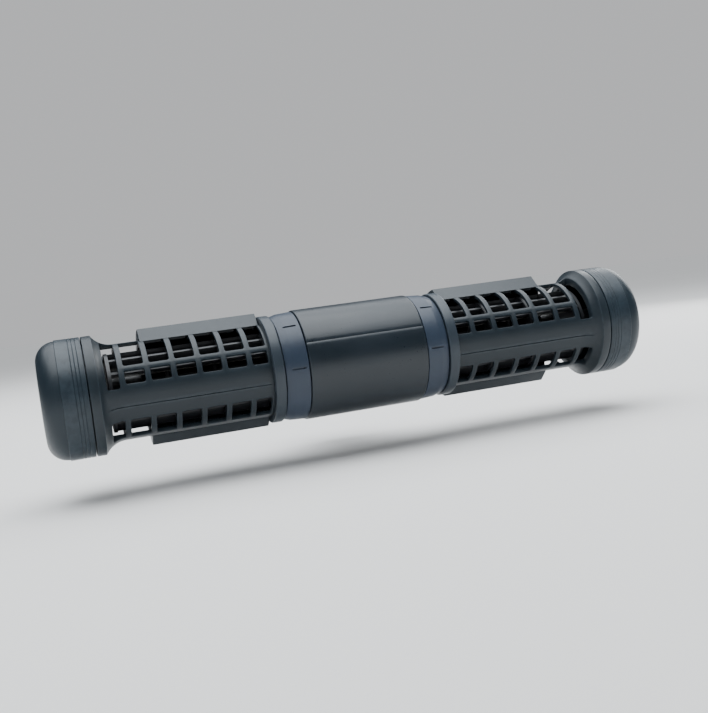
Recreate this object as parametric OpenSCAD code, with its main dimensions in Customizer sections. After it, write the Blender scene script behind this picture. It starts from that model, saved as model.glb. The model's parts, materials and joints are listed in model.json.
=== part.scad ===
// Twin cross-flow wave maker pump on a magnetic glass mount.
// X runs along the pump, -Y is the front, +Y points at the aquarium glass and +Z is up.
// The origin is the centre of the rubber pad's face, where the mount rests on the glass.

/* [Pump] */
// Length over both end caps
pump_length = 280; // [260:2:320]
// Diameter of the end caps
cap_d = 52; // [51.8:0.1:53]
// Diameter of the slotted cages
cage_d = 42; // [41.8:0.1:42.2]
// Diameter of the two motor shells
motor_d = 50.2; // [50:0.1:50.6]
// Length of the motor between its two end faces
motor_length = 76.2; // [76:0.1:76.4]
// Length of the motor shells
shell_length = 54.8; // [54:0.1:55]
// Angle of the shells' seam above the front
seam_angle = 25; // [20:1:30]

/* [Cages] */
// Distance from the pump's middle to the first rib
first_rib_x = 52.5; // [52:0.1:53]
// Distance from one rib to the next
rib_pitch = 10.8; // [10.6:0.1:10.8]
// Width of each rib
rib_w = 2.4; // [2:0.1:3]
// Wall of the cages
cage_wall = 1.8; // [1.6:0.1:1.9]
// Outer end of the rear flow guide
guide_end_x = 96.2; // [95.8:0.1:97]
// Wall of the rear flow guide
guide_wall = 1.8; // [1.4:0.1:2.2]

/* [Impellers] */
// Diameter of the cross-flow impellers
impeller_d = 34.4; // [33:0.2:35]
// Blades on each impeller
blade_count = 14; // [10:1:16]
// Thickness of each blade
blade_t = 1.1; // [0.9:0.1:1.4]
// Diameter of the ceramic shafts
shaft_d = 4; // [3.9:0.05:4.1]

/* [Motor] */
// Diameter of the rotor magnets
magnet_d = 19.6; // [19:0.1:20]
// Teeth on each stator
tooth_count = 6; // [6:1:6]
// Bore of the cable gland
cable_d = 5.8; // [5.4:0.1:6]

/* [Glass mount] */
// Diameter of the magnet housing
base_d = 44; // [43:0.5:45]
// Depth of the magnet housing
base_depth = 14; // [13.5:0.1:14]
// Thickness of the rubber pad
pad_t = 2; // [1.5:0.1:2]
// Distance from the housing's front to the hinge pin
pin_drop = 7; // [7:0.1:8]
// Distance from the hinge pin to the pump's axis
pin_to_axis = 32.5; // [32.5:0.5:36]
// Diameter of the hinge pin
pin_d = 4; // [3.8:0.1:4.2]

/* [Hidden] */
$fn = 96;
sides = [["left", -1], ["right", 1]];
side_nodes = ["cage", "flow_guide", "lock_collar", "end_cap", "bearing_holder", "outer_boot",
    "outer_bush", "impeller", "rotor_hub", "shaft", "rotor_magnet", "thrust_washers",
    "inner_bush", "inner_boot", "rotor_can", "can_seal", "stator_core", "coils", "index_band"];

// Clearances
fit = 0.05;         // between parts that are pressed or set together
run = 0.05;         // between a shaft and its bush
slide = 0.4;        // between twist-lock parts

// Radii
cap_r = cap_d / 2;
cage_r = cage_d / 2;
cage_in_r = cage_r - cage_wall;
motor_r = motor_d / 2;
impeller_r = impeller_d / 2;
shaft_r = shaft_d / 2;
magnet_r = magnet_d / 2;
frame_r = motor_r - 2.6;         // outside of the inner motor frame
frame_in_r = frame_r - 2.1;
can_in_r = magnet_r + 1;         // wet side of the rotor can
can_r = can_in_r + 1;
spigot_r = can_in_r + 9.8;       // the rotor can's spigot, inside the lock collar
collar_r = motor_r - 0.9;
cap_spigot_r = cage_r + 1.2;     // the end cap's spigot, inside the cage's rim
cap_spigot_wall = 1.6;
bush_r = shaft_r + 1.2;
boot_r = bush_r + 1.8;

// Stations along the pump, from its middle
shell_x = shell_length / 2;
motor_x = motor_length / 2;
band_x = shell_x + 0.3;
can_floor_x = 4.2;
can_floor_t = 1.4;
collar_x0 = motor_x + slide;
collar_x1 = collar_x0 + 4.7;
cage_x0 = collar_x1 - 2;
guide_x0 = collar_x1 + 0.2;
end_x = pump_length / 2;
cap_round = 8.5;                 // rounding of the cap's outer edge
cap_x0 = end_x - 19.2;
rim_x1 = cap_x0 - slide;
rim_x0 = rim_x1 - 4;
flare_x0 = rim_x0 - 8.9;
seat_x = rim_x1 - 5.4;           // where the cage widens for the cap's spigot
hub_x0 = rim_x1 - 2.9;           // outer bearing
hub_x1 = hub_x0 + 10;
impeller_x0 = motor_x + 4.4;
impeller_x1 = rim_x0 - 4.4;
shaft_x0 = can_floor_x + can_floor_t + 1.4;
shaft_x1 = hub_x1 - 2;
magnet_x1 = motor_x - 4.1;
stator_x0 = can_floor_x + 6;
stator_x1 = motor_x - 8;
yoke_in_r = 17.6;
tooth_w = 5;

// Window rows, as angles above the front (negative is below)
inlet_row = [34, 91];
slot_row = [11.5, 27.5];
outlet_row = [-64, -32];
rear_rows = [for (i = [0 : 3]) [97 + 41.5 * i, 132.5 + 41.5 * i]];
window_rows = concat([inlet_row, slot_row, outlet_row], rear_rows);
end_rows = concat([[7, 91], outlet_row], rear_rows);     // the outermost column
window_end_x = rim_x0 - 3.2;
window_count = round((window_end_x - first_rib_x) / rib_pitch) + 1;

// Twist locks
lug_count = 3;
lug_angle = 12;
lug_h = 1.2;                     // how far a lug stands out
unlock_angle = 30;

// The mount's stations from the glass
pin_y = -(pad_t + base_depth + pin_drop);
axis_y = pin_y - pin_to_axis;
knuckle_r = 4.5;
saddle_r = motor_r + 2.3;
lug_half_w = 8.8;                // half width of the housing's hinge lug
ear_x0 = lug_half_w + 0.3;
ear_x1 = ear_x0 + 4.2;
base_r = base_d / 2;
base_wall = 2.1;

// Cable gland
gland_x = 22.5;
gland_angle = 150;
gland_r = 4.2;
gland_seat = motor_r + 2;        // the boss's outer face
gland_tip = motor_r + 9.5;
board_w = 8.4;                   // terminal board, under the gland
board_l = 7.6;

// Screws
screw_r = 1.2;
screw_hole_r = screw_r + 0.1;
shell_screw_head_r = 2.3;
bracket_screw_head_r = 2.2;

// Radial screws: [distance along the pump, angle above the front]
shell_screw_spots = [for (x = [-21, 21], angle = [128, 232]) [x, angle]];
bracket_screw_spots = [for (x = [-5, 5], angle = [150, 210]) [x, angle]];

// ---- Frames ----

// Things that turn about the pump's axis: local z runs out along +X
module on_axis() {
    translate([0, axis_y, 0]) rotate([0, 90, 0]) children();
}

// One side of the pump, drawn for the right and mirrored for the left
module on_side(sign) {
    mirror([sign < 0 ? 1 : 0, 0, 0]) on_axis() children();
}

// Turns local +x to an angle above the pump's front
module at_angle(angle) {
    rotate([0, 0, 270 - angle]) children();
}

// Things on the glass mount: local z runs from the glass towards the pump
module on_glass() {
    rotate([90, 0, 0]) children();
}

// ---- Shapes that repeat ----

module ring(r_in, r_out, x0, x1) {
    rotate_extrude() translate([r_in, x0]) square([r_out - r_in, x1 - x0]);
}

module disc(r, x0, x1) {
    translate([0, 0, x0]) cylinder(r = r, h = x1 - x0);
}

// A block of a ring, from one angle above the front to another
module ring_sector(r_in, r_out, x0, x1, angle0, angle1) {
    at_angle(angle1) rotate_extrude(angle = angle1 - angle0)
        translate([r_in, x0]) square([r_out - r_in, x1 - x0]);
}

module lugs(r_in, r_out, x0, x1, turn, width) {
    for (i = [0 : lug_count - 1]) {
        middle = turn + i * 360 / lug_count;
        ring_sector(r_in, r_out, x0, x1, middle - width / 2, middle + width / 2);
    }
}

// ---- Cage ----

// Half section of the cage: a barrel that sweeps out to the end cap's rim
module cage_profile() {
    rise = cap_r - cage_r;
    sweep_run = rim_x0 - flare_x0;
    sweep_r = sweep_run / sin(2 * atan(rise / sweep_run));
    translate([cage_in_r, cage_x0]) square([cage_wall, flare_x0 - cage_x0 + 1]);
    difference() {
        translate([cage_in_r, flare_x0]) square([cap_r - cage_in_r, rim_x1 - flare_x0]);
        translate([cage_r + sweep_r, flare_x0]) circle(r = sweep_r);
        translate([cage_in_r - 1, seat_x]) square([cap_spigot_r + slide - cage_in_r + 1, rim_x1]);
    }
}

function window_x0(i) = max(first_rib_x + (i - 1) * rib_pitch + rib_w / 2, collar_x1 + 1.2);
function window_x1(i) = min(first_rib_x + i * rib_pitch - rib_w / 2, window_end_x);

module cage() {
    bore_r = cap_spigot_r + slide;
    color([0.16, 0.19, 0.22]) difference() {
        rotate_extrude() cage_profile();
        for (i = [0 : window_count - 1])
            for (row = i < window_count - 1 ? window_rows : end_rows)
                ring_sector(cage_in_r - 2, cap_r + 2, window_x0(i), window_x1(i), row[0], row[1]);
        ring(bore_r - 0.5, bore_r + lug_h + 0.2, rim_x0 + 0.6, rim_x0 + 2.6);
        lugs(bore_r - 0.5, bore_r + lug_h, rim_x0 + 1.6, rim_x1 + 1, -unlock_angle, lug_angle + 4);
    }
}

// ---- Rear flow guide ----

// Where the guide's two lips meet the cage and where they reach full height: [down, back]
top_lip = [[-20.5, -4.5], [-26.2, 2]];
low_lip = [[20.9, -2], [25, 3]];

function along(lip, reach) = lip[0] + (lip[1] - lip[0]) * reach;

// Everything behind both lips, set back by shift
module behind_lips(shift) {
    translate([0, shift]) polygon([along(top_lip, 2.2), along(top_lip, 0), [-12, 0], [12, 0],
        along(low_lip, 0), along(low_lip, 2.8), [40, 40], [-40, 40]]);
}

module guide_section(wall) {
    difference() {
        intersection() {
            circle(r = cap_r);
            behind_lips(0);
        }
        circle(r = cage_r + fit);
        if (wall > 0) intersection() {
            circle(r = cap_r - wall);
            behind_lips(wall * 1.35);
        }
    }
}

module flow_guide() {
    end_wall = 1.6;
    color([0.2, 0.23, 0.26]) union() {
        translate([0, 0, guide_x0]) linear_extrude(guide_end_x - guide_x0) guide_section(guide_wall);
        translate([0, 0, guide_x0]) linear_extrude(end_wall) guide_section(0);
        translate([0, 0, guide_end_x - end_wall]) linear_extrude(end_wall) guide_section(0);
    }
}

// ---- Twist-lock collar that holds the cage on the motor ----

module lock_collar() {
    bore_r = spigot_r + slide;
    groove_x = collar_x0 + 0.8;
    color([0.24, 0.27, 0.31]) difference() {
        union() {
            ring(bore_r, collar_r - 0.6, collar_x0, collar_x1);
            ring(bore_r, collar_r, collar_x0 + 0.6, collar_x1 - 0.6);
        }
        ring(bore_r - 1, cage_r + fit, cage_x0 - fit, collar_x1 + 1);
        ring(bore_r - 1, bore_r + lug_h, groove_x, groove_x + 1.6);
        lugs(bore_r - 1, bore_r + lug_h - 0.15, collar_x0 - 1, groove_x + 1, unlock_angle, lug_angle + 4);
    }
}

// ---- End cap ----

module cap_profile() {
    step = 0.4;
    wall = 2.2;
    round_x = end_x - cap_round;
    difference() {
        union() {
            translate([0, cap_x0]) square([cap_r, round_x - cap_x0]);
            translate([0, round_x]) square([cap_r - step - cap_round, cap_round]);
            intersection() {
                translate([cap_r - step - cap_round, round_x]) circle(r = cap_round);
                translate([cap_r - step - cap_round - 1, round_x]) square(cap_round + 1);
            }
        }
        translate([0, cap_x0 + 2.6]) square([cap_r - wall, round_x - cap_x0 - 2.6]);
        translate([0, round_x - 1]) square([cap_r - wall - cap_round + 2, cap_round - wall + 1]);
        intersection() {
            translate([cap_r - step - cap_round, round_x]) circle(r = cap_round - wall + step);
            translate([0, round_x - 1]) square([cap_r, cap_round - wall + 1]);
        }
        translate([-1, cap_x0 - 1]) square([cap_spigot_r - cap_spigot_wall + 1, 5]);
    }
}

module end_cap() {
    spigot_x0 = seat_x + 0.5;
    lug_x0 = rim_x0 + 0.8;
    rib_x0 = cap_x0 + 5;
    rib_x1 = end_x - 1;
    socket_r = boot_r + 2.2;
    rib_count = 6;
    rib_t = 1.4;
    color([0.19, 0.23, 0.27]) union() {
        rotate_extrude() cap_profile();
        ring(cap_spigot_r - cap_spigot_wall, cap_spigot_r, spigot_x0, cap_x0 + 1);
        lugs(cap_spigot_r - 0.5, cap_spigot_r + lug_h, lug_x0, lug_x0 + 1.6, 0, lug_angle);
        ring(socket_r, socket_r + rib_t, rib_x0, rib_x1);
        for (i = [0 : rib_count - 1]) rotate([0, 0, i * 360 / rib_count])
            translate([socket_r + 0.3, -rib_t / 2, rib_x0]) rib(rib_t, rib_x1 - rib_x0, socket_r + 0.3);
    }
}

// A stiffening rib inside the cap, cut off where the cap's edge is rounded
module rib(t, length, start) {
    reach = cap_r - 1 - start;
    rotate([90, 0, 0]) translate([0, 0, -t]) linear_extrude(t)
        polygon([[0, 0], [reach, 0], [reach, length - cap_round], [reach - cap_round, length], [0, length]]);
}

// ---- Outer bearing in the end cap ----

module bearing_holder() {
    ring_r = cap_spigot_r - cap_spigot_wall - fit;
    spoke_w = 2.6;
    color([0.14, 0.16, 0.18]) union() {
        ring(ring_r - 1.8, ring_r, hub_x0, hub_x0 + 3.4);
        ring(boot_r + fit, boot_r + 1.4, hub_x0, hub_x1 - 1);
        disc(boot_r + 1.4, hub_x1 - 1, hub_x1);
        for (i = [0 : 2]) rotate([0, 0, 120 * i + 30])
            translate([boot_r + 0.8, -spoke_w / 2, hub_x0]) cube([ring_r - boot_r - 1.6, spoke_w, 2.6]);
    }
}

module outer_boot() {
    color([0.09, 0.09, 0.1]) ring(bush_r + fit, boot_r, hub_x0 + 1, hub_x1 - 1.1);
}

module outer_bush() {
    color([0.9, 0.87, 0.8]) ring(shaft_r + run, bush_r, hub_x0, hub_x1 - 1.5);
}

// ---- Rotor ----

// Section of one curved blade
module blade_section() {
    arc_r = 6.6;
    intersection() {
        difference() {
            circle(r = impeller_r - 0.3);
            circle(r = 11.3);
        }
        translate([16, -4.6]) difference() {
            circle(r = arc_r + blade_t / 2);
            circle(r = arc_r - blade_t / 2);
        }
        translate([10, -0.9]) square([8, 4]);
    }
}

module impeller() {
    plate = 1.5;
    color([0.1, 0.11, 0.13]) union() {
        for (i = [0 : blade_count - 1]) rotate([0, 0, i * 360 / blade_count])
            translate([0, 0, impeller_x0 + plate - 0.2])
                linear_extrude(impeller_x1 - impeller_x0 - 2 * plate + 0.4) blade_section();
        ring(shaft_r + fit, impeller_r, impeller_x0, impeller_x0 + plate);
        ring(shaft_r + fit, impeller_r, impeller_x1 - plate, impeller_x1);
        ring(shaft_r + fit, shaft_r + 2.8, impeller_x1 - plate, hub_x0 - 1.6);
        for (i = [1, 3]) let (x = first_rib_x + i * rib_pitch)
            ring(11, impeller_r, x - plate / 2, x + plate / 2);
    }
}

module rotor_hub() {
    color([0.13, 0.14, 0.16]) union() {
        ring(shaft_r + fit, 5.5, magnet_x1 + 0.1, impeller_x0 - 0.05);
        ring(shaft_r + fit, impeller_r - 0.4, impeller_x0 - 2.6, impeller_x0 - 0.05);
    }
}

module shaft() {
    color([0.93, 0.91, 0.86]) disc(shaft_r, shaft_x0, shaft_x1);
}

module rotor_magnet() {
    color([0.3, 0.3, 0.32]) ring(shaft_r + fit, magnet_r, can_floor_x + 8.4, magnet_x1);
}

module thrust_washers() {
    color([0.95, 0.93, 0.88]) {
        ring(shaft_r + fit, shaft_r + 2.4, can_floor_x + 7.2, can_floor_x + 8.2);
        ring(shaft_r + fit, shaft_r + 2.4, hub_x0 - 1.4, hub_x0 - 0.2);
    }
}

// ---- Inner bearing and rotor can ----

module inner_bush() {
    color([0.9, 0.87, 0.8]) ring(shaft_r + run, bush_r, can_floor_x + can_floor_t + 0.4, can_floor_x + 7);
}

module inner_boot() {
    color([0.09, 0.09, 0.1]) ring(bush_r + fit, boot_r, can_floor_x + can_floor_t + 0.05, can_floor_x + 6.8);
}

module rotor_can() {
    flange_x = motor_x - 2;
    lug_x0 = collar_x0 + 1;
    color([0.1, 0.11, 0.12]) union() {
        disc(can_r, can_floor_x, can_floor_x + can_floor_t);
        ring(can_in_r, can_r, can_floor_x, motor_x);
        ring(boot_r + fit, boot_r + 1.2, can_floor_x + can_floor_t - 0.2, can_floor_x + 5.8);
        ring(can_in_r, frame_r - 0.1, flange_x, motor_x);
        ring(spigot_r - 1.3, spigot_r, motor_x - 0.2, cage_x0 - 0.3);
        lugs(spigot_r - 0.5, spigot_r + lug_h, lug_x0, lug_x0 + 1.2, 0, lug_angle);
    }
}

module can_seal() {
    color([0.08, 0.08, 0.09]) translate([0, 0, motor_x - 2.6])
        rotate_extrude() translate([frame_r - 1.05, 0]) circle(r = 0.5);
}

// ---- Stators ----

module stator_core() {
    color([0.45, 0.46, 0.48]) difference() {
        union() {
            ring(yoke_in_r, frame_in_r - 0.1, stator_x0, stator_x1);
            for (i = [0 : tooth_count - 1]) rotate([0, 0, i * 360 / tooth_count])
                translate([can_r, -tooth_w / 2, stator_x0])
                    cube([yoke_in_r - can_r + 0.5, tooth_w, stator_x1 - stator_x0]);
        }
        disc(can_r + 0.3, stator_x0 - 1, stator_x1 + 1);
    }
}

module coils() {
    winding = 2.2;
    in_w = tooth_w + 0.2;
    in_l = stator_x1 - stator_x0 + 0.2;
    color([0.72, 0.42, 0.2]) for (i = [0 : tooth_count - 1]) rotate([0, 0, i * 360 / tooth_count])
        translate([can_r + 1.2, 0, (stator_x0 + stator_x1) / 2]) rotate([0, 90, 0])
            linear_extrude(yoke_in_r - can_r - 2) difference() {
                square([in_l + 2 * winding, in_w + 2 * winding], center = true);
                square([in_l, in_w], center = true);
            }
}

// ---- Motor body ----

module motor_frame() {
    half = motor_x - 2.1;
    wall = 3.4;
    on_axis() color([0.12, 0.13, 0.15]) difference() {
        union() {
            ring(frame_in_r, frame_r, -half, half);
            disc(frame_in_r + 0.5, -wall, wall);
        }
        for (s = [-1, 1])
            ring(frame_r - 1.65, frame_r - 0.45, s * (half - 0.5) - 0.6, s * (half - 0.5) + 0.6);
        at_angle(180) translate([frame_in_r - 6, 0, gland_x - 3]) rotate([0, 90, 0]) cylinder(r = 2, h = 12);
        screw_holes(shell_screw_spots, frame_r - 2.4, 3, screw_hole_r);
    }
}

// A tapered band at each end of the motor, with marks for the twist lock
module index_band() {
    mark_angles = [49, 0];
    color([0.26, 0.3, 0.36]) difference() {
        rotate_extrude() polygon([[frame_r + fit, band_x], [motor_r - 0.5, band_x],
            [motor_r - 0.9, motor_x - 3.6], [motor_r - 1.9, motor_x], [frame_r + fit, motor_x]]);
        for (angle = mark_angles) at_angle(angle)
            translate([motor_r - 1.4, -0.5, band_x + 1.6]) cube([3, 1, 6.2]);
    }
}

module shell_profile() {
    bevel = 0.7;
    polygon([[frame_r + fit, -shell_x], [motor_r - bevel, -shell_x], [motor_r, -shell_x + bevel],
        [motor_r, shell_x - bevel], [motor_r - bevel, shell_x], [frame_r + fit, shell_x]]);
}

// Half of the space round the axis, on the side that an angle points to
module half_space(angle) {
    seam = 0.06;
    at_angle(angle) translate([seam, -50, -50]) cube(100);
}

module at_screws(spots, r) {
    for (s = spots) at_angle(s[1]) translate([r, 0, s[0]]) rotate([0, 90, 0]) children();
}

module screw_holes(spots, r, depth, hole_r) {
    at_screws(spots, r) cylinder(r = hole_r, h = depth);
}

// A screw with a hexagon socket, its head's underside at the origin
module screw(length, head_r) {
    head_t = 1.2;
    difference() {
        union() {
            translate([0, 0, -length]) cylinder(r = screw_r, h = length + 0.3);
            cylinder(r = head_r, h = head_t);
        }
        translate([0, 0, head_t - 0.6]) cylinder(r = 1.1, h = 2, $fn = 6);
    }
}

// Holes and head recesses for the shells' own screws, and holes for the bracket's
module shell_screw_cuts() {
    screw_holes(shell_screw_spots, frame_r - 1, 6, screw_hole_r);
    screw_holes(shell_screw_spots, motor_r - 1.3, 6, shell_screw_head_r + 0.2);
    screw_holes(bracket_screw_spots, frame_r + 0.4, 6, screw_hole_r);
}

module motor_front_shell() {
    on_axis() color([0.2, 0.24, 0.28]) difference() {
        intersection() {
            rotate_extrude() shell_profile();
            half_space(seam_angle - 90);
        }
        shell_screw_cuts();
    }
}

module motor_rear_shell() {
    on_axis() color([0.17, 0.2, 0.23]) difference() {
        union() {
            intersection() {
                rotate_extrude() shell_profile();
                half_space(seam_angle + 90);
            }
            at_angle(gland_angle) translate([frame_r + 1.5, 0, gland_x]) rotate([0, 90, 0])
                cylinder(r = gland_r + 0.7, h = gland_seat - frame_r - 1.5);
        }
        at_angle(gland_angle) translate([frame_r - 1, 0, gland_x]) rotate([0, 90, 0])
            cylinder(r = gland_r - 0.8, h = 8);
        shell_screw_cuts();
        at_angle(180) translate([frame_r - 1, -board_w / 2 - 0.4, gland_x - board_l / 2 - 0.3])
            cube([2.6, board_w + 0.8, board_l + 0.6]);
    }
}

// Compression gland: a spigot in the boss, and the nut that clamps the cable
module cable_gland() {
    nut_h = gland_tip - gland_seat - 0.6;
    on_axis() color([0.07, 0.07, 0.08]) at_angle(gland_angle) translate([0, 0, gland_x])
        rotate([0, 90, 0]) difference() {
            union() {
                translate([0, 0, motor_r - 1.6]) cylinder(r = gland_r - 0.85, h = 4.6);
                translate([0, 0, gland_seat + 0.6]) cylinder(r = gland_r + 0.5, h = nut_h - 1.6);
                translate([0, 0, gland_tip - 1.6]) cylinder(r1 = gland_r + 0.5, r2 = gland_r - 0.5, h = 1.6);
            }
            translate([0, 0, motor_r - 3]) cylinder(r = cable_d / 2, h = 20);
        }
}

module gland_seal() {
    on_axis() color([0.1, 0.1, 0.11]) at_angle(gland_angle) translate([0, 0, gland_x])
        rotate([0, 90, 0]) difference() {
            translate([0, 0, gland_seat]) cylinder(r = gland_r + 0.4, h = 0.6);
            translate([0, 0, gland_seat - 1]) cylinder(r = gland_r - 0.8, h = 3);
        }
}

// A small board with three solder pads
module terminal_board() {
    pad_pitch = 2.4;
    pad_w = 0.8;
    pad_l = 3.6;
    on_axis() color([0.1, 0.3, 0.16]) at_angle(180) translate([0, 0, gland_x]) {
        translate([frame_r + 0.1, -board_w / 2, -board_l / 2]) cube([0.6, board_w, board_l]);
        for (i = [-1 : 1])
            translate([frame_r + 0.6, pad_pitch * i - pad_w / 2, -pad_l / 2]) cube([0.6, pad_w, pad_l]);
    }
}

module shell_screws() {
    on_axis() color([0.6, 0.61, 0.62]) at_screws(shell_screw_spots, motor_r - 1.3)
        screw(3, shell_screw_head_r);
}

// ---- Tilting glass mount ----

// Saddle on the motor's back with two hinge ears
module tilt_bracket() {
    half_w = 15;
    half_angle = 38;
    color([0.15, 0.17, 0.19]) difference() {
        union() {
            on_axis() ring_sector(motor_r + fit, saddle_r, -half_w, half_w, 180 - half_angle, 180 + half_angle);
            for (s = [-1, 1]) {
                translate([s > 0 ? ear_x0 : -ear_x1, pin_y, 0]) rotate([0, 90, 0])
                    cylinder(r = knuckle_r, h = ear_x1 - ear_x0);
                difference() {
                    translate([s > 0 ? ear_x0 : -ear_x1, pin_y - 7.5, -knuckle_r])
                        cube([ear_x1 - ear_x0, 7.5, 2 * knuckle_r]);
                    on_axis() disc(motor_r + fit, -30, 30);
                }
            }
        }
        translate([-20, pin_y, 0]) rotate([0, 90, 0]) cylinder(r = pin_d / 2 + 0.06, h = 40);
        on_axis() screw_holes(bracket_screw_spots, motor_r - 1, 6, screw_hole_r);
    }
}

module bracket_screws() {
    on_axis() color([0.6, 0.61, 0.62]) at_screws(bracket_screw_spots, saddle_r)
        screw(3.8, bracket_screw_head_r);
}

module hinge_pin() {
    head_x = ear_x1 + 0.2;
    color([0.7, 0.71, 0.72]) translate([0, pin_y, 0]) rotate([0, 90, 0]) difference() {
        union() {
            disc(pin_d / 2, -head_x - 2.2, head_x + 0.5);
            disc(pin_d / 2 + 1.3, head_x, head_x + 1.2);
        }
        ring(pin_d / 2 - 0.4, pin_d, -head_x - 1.1, -head_x - 0.2);
    }
}

module pin_clip() {
    groove_x = -ear_x1 - 0.4;
    color([0.55, 0.56, 0.58]) translate([0, pin_y, 0]) rotate([0, 90, 0]) difference() {
        ring(pin_d / 2 - 0.35, pin_d / 2 + 1.4, groove_x - 0.8, groove_x - 0.1);
        translate([0, -0.9, groove_x - 2]) cube([10, 1.8, 4]);
    }
}

// Cup that holds the magnet, closed by the pad, with the hinge lug on its front
module magnet_housing() {
    edge = 4;
    front = pad_t + base_depth;
    color([0.15, 0.17, 0.19]) difference() {
        union() {
            on_glass() rotate_extrude() difference() {
                union() {
                    translate([0, pad_t]) square([base_r, base_depth - edge]);
                    translate([0, pad_t]) square([base_r - edge, base_depth]);
                    intersection() {
                        translate([base_r - edge, front - edge]) circle(r = edge);
                        translate([base_r - edge - 0.5, front - edge - 0.5]) square(edge + 1);
                    }
                }
                translate([-1, pad_t - 1]) square([base_r - base_wall + 1, base_depth - 1.8]);
            }
            translate([-lug_half_w, pin_y, 0]) rotate([0, 90, 0])
                cylinder(r = knuckle_r, h = 2 * lug_half_w);
            translate([-lug_half_w, pin_y, -knuckle_r])
                cube([2 * lug_half_w, pin_drop + 0.5, 2 * knuckle_r]);
        }
        translate([-20, pin_y, 0]) rotate([0, 90, 0]) cylinder(r = pin_d / 2 + 0.02, h = 40);
    }
}

module mount_magnet() {
    color([0.4, 0.4, 0.42]) on_glass() disc(base_r - base_wall - 0.1, pad_t + 0.1, pad_t + 8.1);
}

module backing_plate() {
    color([0.62, 0.63, 0.64]) on_glass() disc(base_r - base_wall - 0.1, pad_t + 8.2, pad_t + base_depth - 2.9);
}

module glass_pad() {
    color([0.08, 0.08, 0.09]) on_glass() disc(base_r - 0.5, 0, pad_t);
}

// ---- Every node ----

for (s = sides) {
    on_side(s[1]) cage();
    on_side(s[1]) flow_guide();
    on_side(s[1]) lock_collar();
    on_side(s[1]) end_cap();
    on_side(s[1]) bearing_holder();
    on_side(s[1]) outer_boot();
    on_side(s[1]) outer_bush();
    on_side(s[1]) impeller();
    on_side(s[1]) rotor_hub();
    on_side(s[1]) shaft();
    on_side(s[1]) rotor_magnet();
    on_side(s[1]) thrust_washers();
    on_side(s[1]) inner_bush();
    on_side(s[1]) inner_boot();
    on_side(s[1]) rotor_can();
    on_side(s[1]) can_seal();
    on_side(s[1]) stator_core();
    on_side(s[1]) coils();
    on_side(s[1]) index_band();
}
motor_front_shell();
motor_rear_shell();
motor_frame();
terminal_board();
cable_gland();
gland_seal();
shell_screws();
tilt_bracket();
bracket_screws();
hinge_pin();
pin_clip();
magnet_housing();
mount_magnet();
backing_plate();
glass_pad();
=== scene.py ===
import json
import math

import bmesh
import bpy
from mathutils import Matrix, Vector


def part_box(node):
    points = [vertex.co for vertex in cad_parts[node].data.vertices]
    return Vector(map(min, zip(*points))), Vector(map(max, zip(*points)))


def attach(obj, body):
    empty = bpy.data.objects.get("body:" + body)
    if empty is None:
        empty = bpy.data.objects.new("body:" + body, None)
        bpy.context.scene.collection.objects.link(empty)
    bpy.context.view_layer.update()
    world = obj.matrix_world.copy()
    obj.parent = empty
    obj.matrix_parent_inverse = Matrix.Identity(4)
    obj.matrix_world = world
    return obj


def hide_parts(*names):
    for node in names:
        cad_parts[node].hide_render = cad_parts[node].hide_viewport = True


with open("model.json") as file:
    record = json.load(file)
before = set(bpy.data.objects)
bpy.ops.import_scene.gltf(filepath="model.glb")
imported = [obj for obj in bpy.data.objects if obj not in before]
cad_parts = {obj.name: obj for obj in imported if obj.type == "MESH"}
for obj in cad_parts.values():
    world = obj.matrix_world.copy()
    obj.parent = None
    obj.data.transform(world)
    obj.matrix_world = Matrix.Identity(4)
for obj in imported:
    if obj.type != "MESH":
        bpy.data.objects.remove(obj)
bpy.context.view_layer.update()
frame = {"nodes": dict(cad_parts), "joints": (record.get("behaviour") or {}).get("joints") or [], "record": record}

mm = 0.001  # shapes are drawn in millimetres and scaled when a piece is finished
softShare = 0.3  # where the middle line of a rounded edge lies, as a share of its radius
weldGap, thinnest = 0.0008, 0.0005  # points this near are joined, edges this short are dropped


def boxOf(node):
    low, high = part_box(node)
    return [v / mm for v in low], [v / mm for v in high]


shaftLow, shaftHigh = boxOf("right_shaft")
axisY = (shaftLow[1] + shaftHigh[1]) / 2
pinLow, pinHigh = boxOf("hinge_pin")
pinY = (pinLow[1] + pinHigh[1]) / 2


# each place takes (along, radius, angle) and gives a point
def onPump(along, radius, angle):  # angle 0 is the front, 90 the top
    turn = math.radians(angle)
    return Vector((along, axisY - radius * math.cos(turn), radius * math.sin(turn)))


def onGlass(along, radius, angle):  # along runs from the glass towards the pump
    turn = math.radians(angle)
    return Vector((radius * math.cos(turn), -along, radius * math.sin(turn)))


def onPin(along, radius, angle):
    turn = math.radians(angle)
    return Vector((along, pinY + radius * math.cos(turn), radius * math.sin(turn)))


def radial(x, side):  # a frame that stands out of the motor at x, in the direction of side
    turn = math.radians(side)
    out = Vector((0, -math.cos(turn), math.sin(turn)))
    across = Vector((0, math.sin(turn), math.cos(turn)))
    middle = Vector((x, axisY, 0))

    def place(along, radius, angle):
        lean = math.radians(angle)
        sideways = Vector((1, 0, 0)) * math.cos(lean) + across * math.sin(lean)
        return middle + out * along + sideways * radius

    return place


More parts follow.
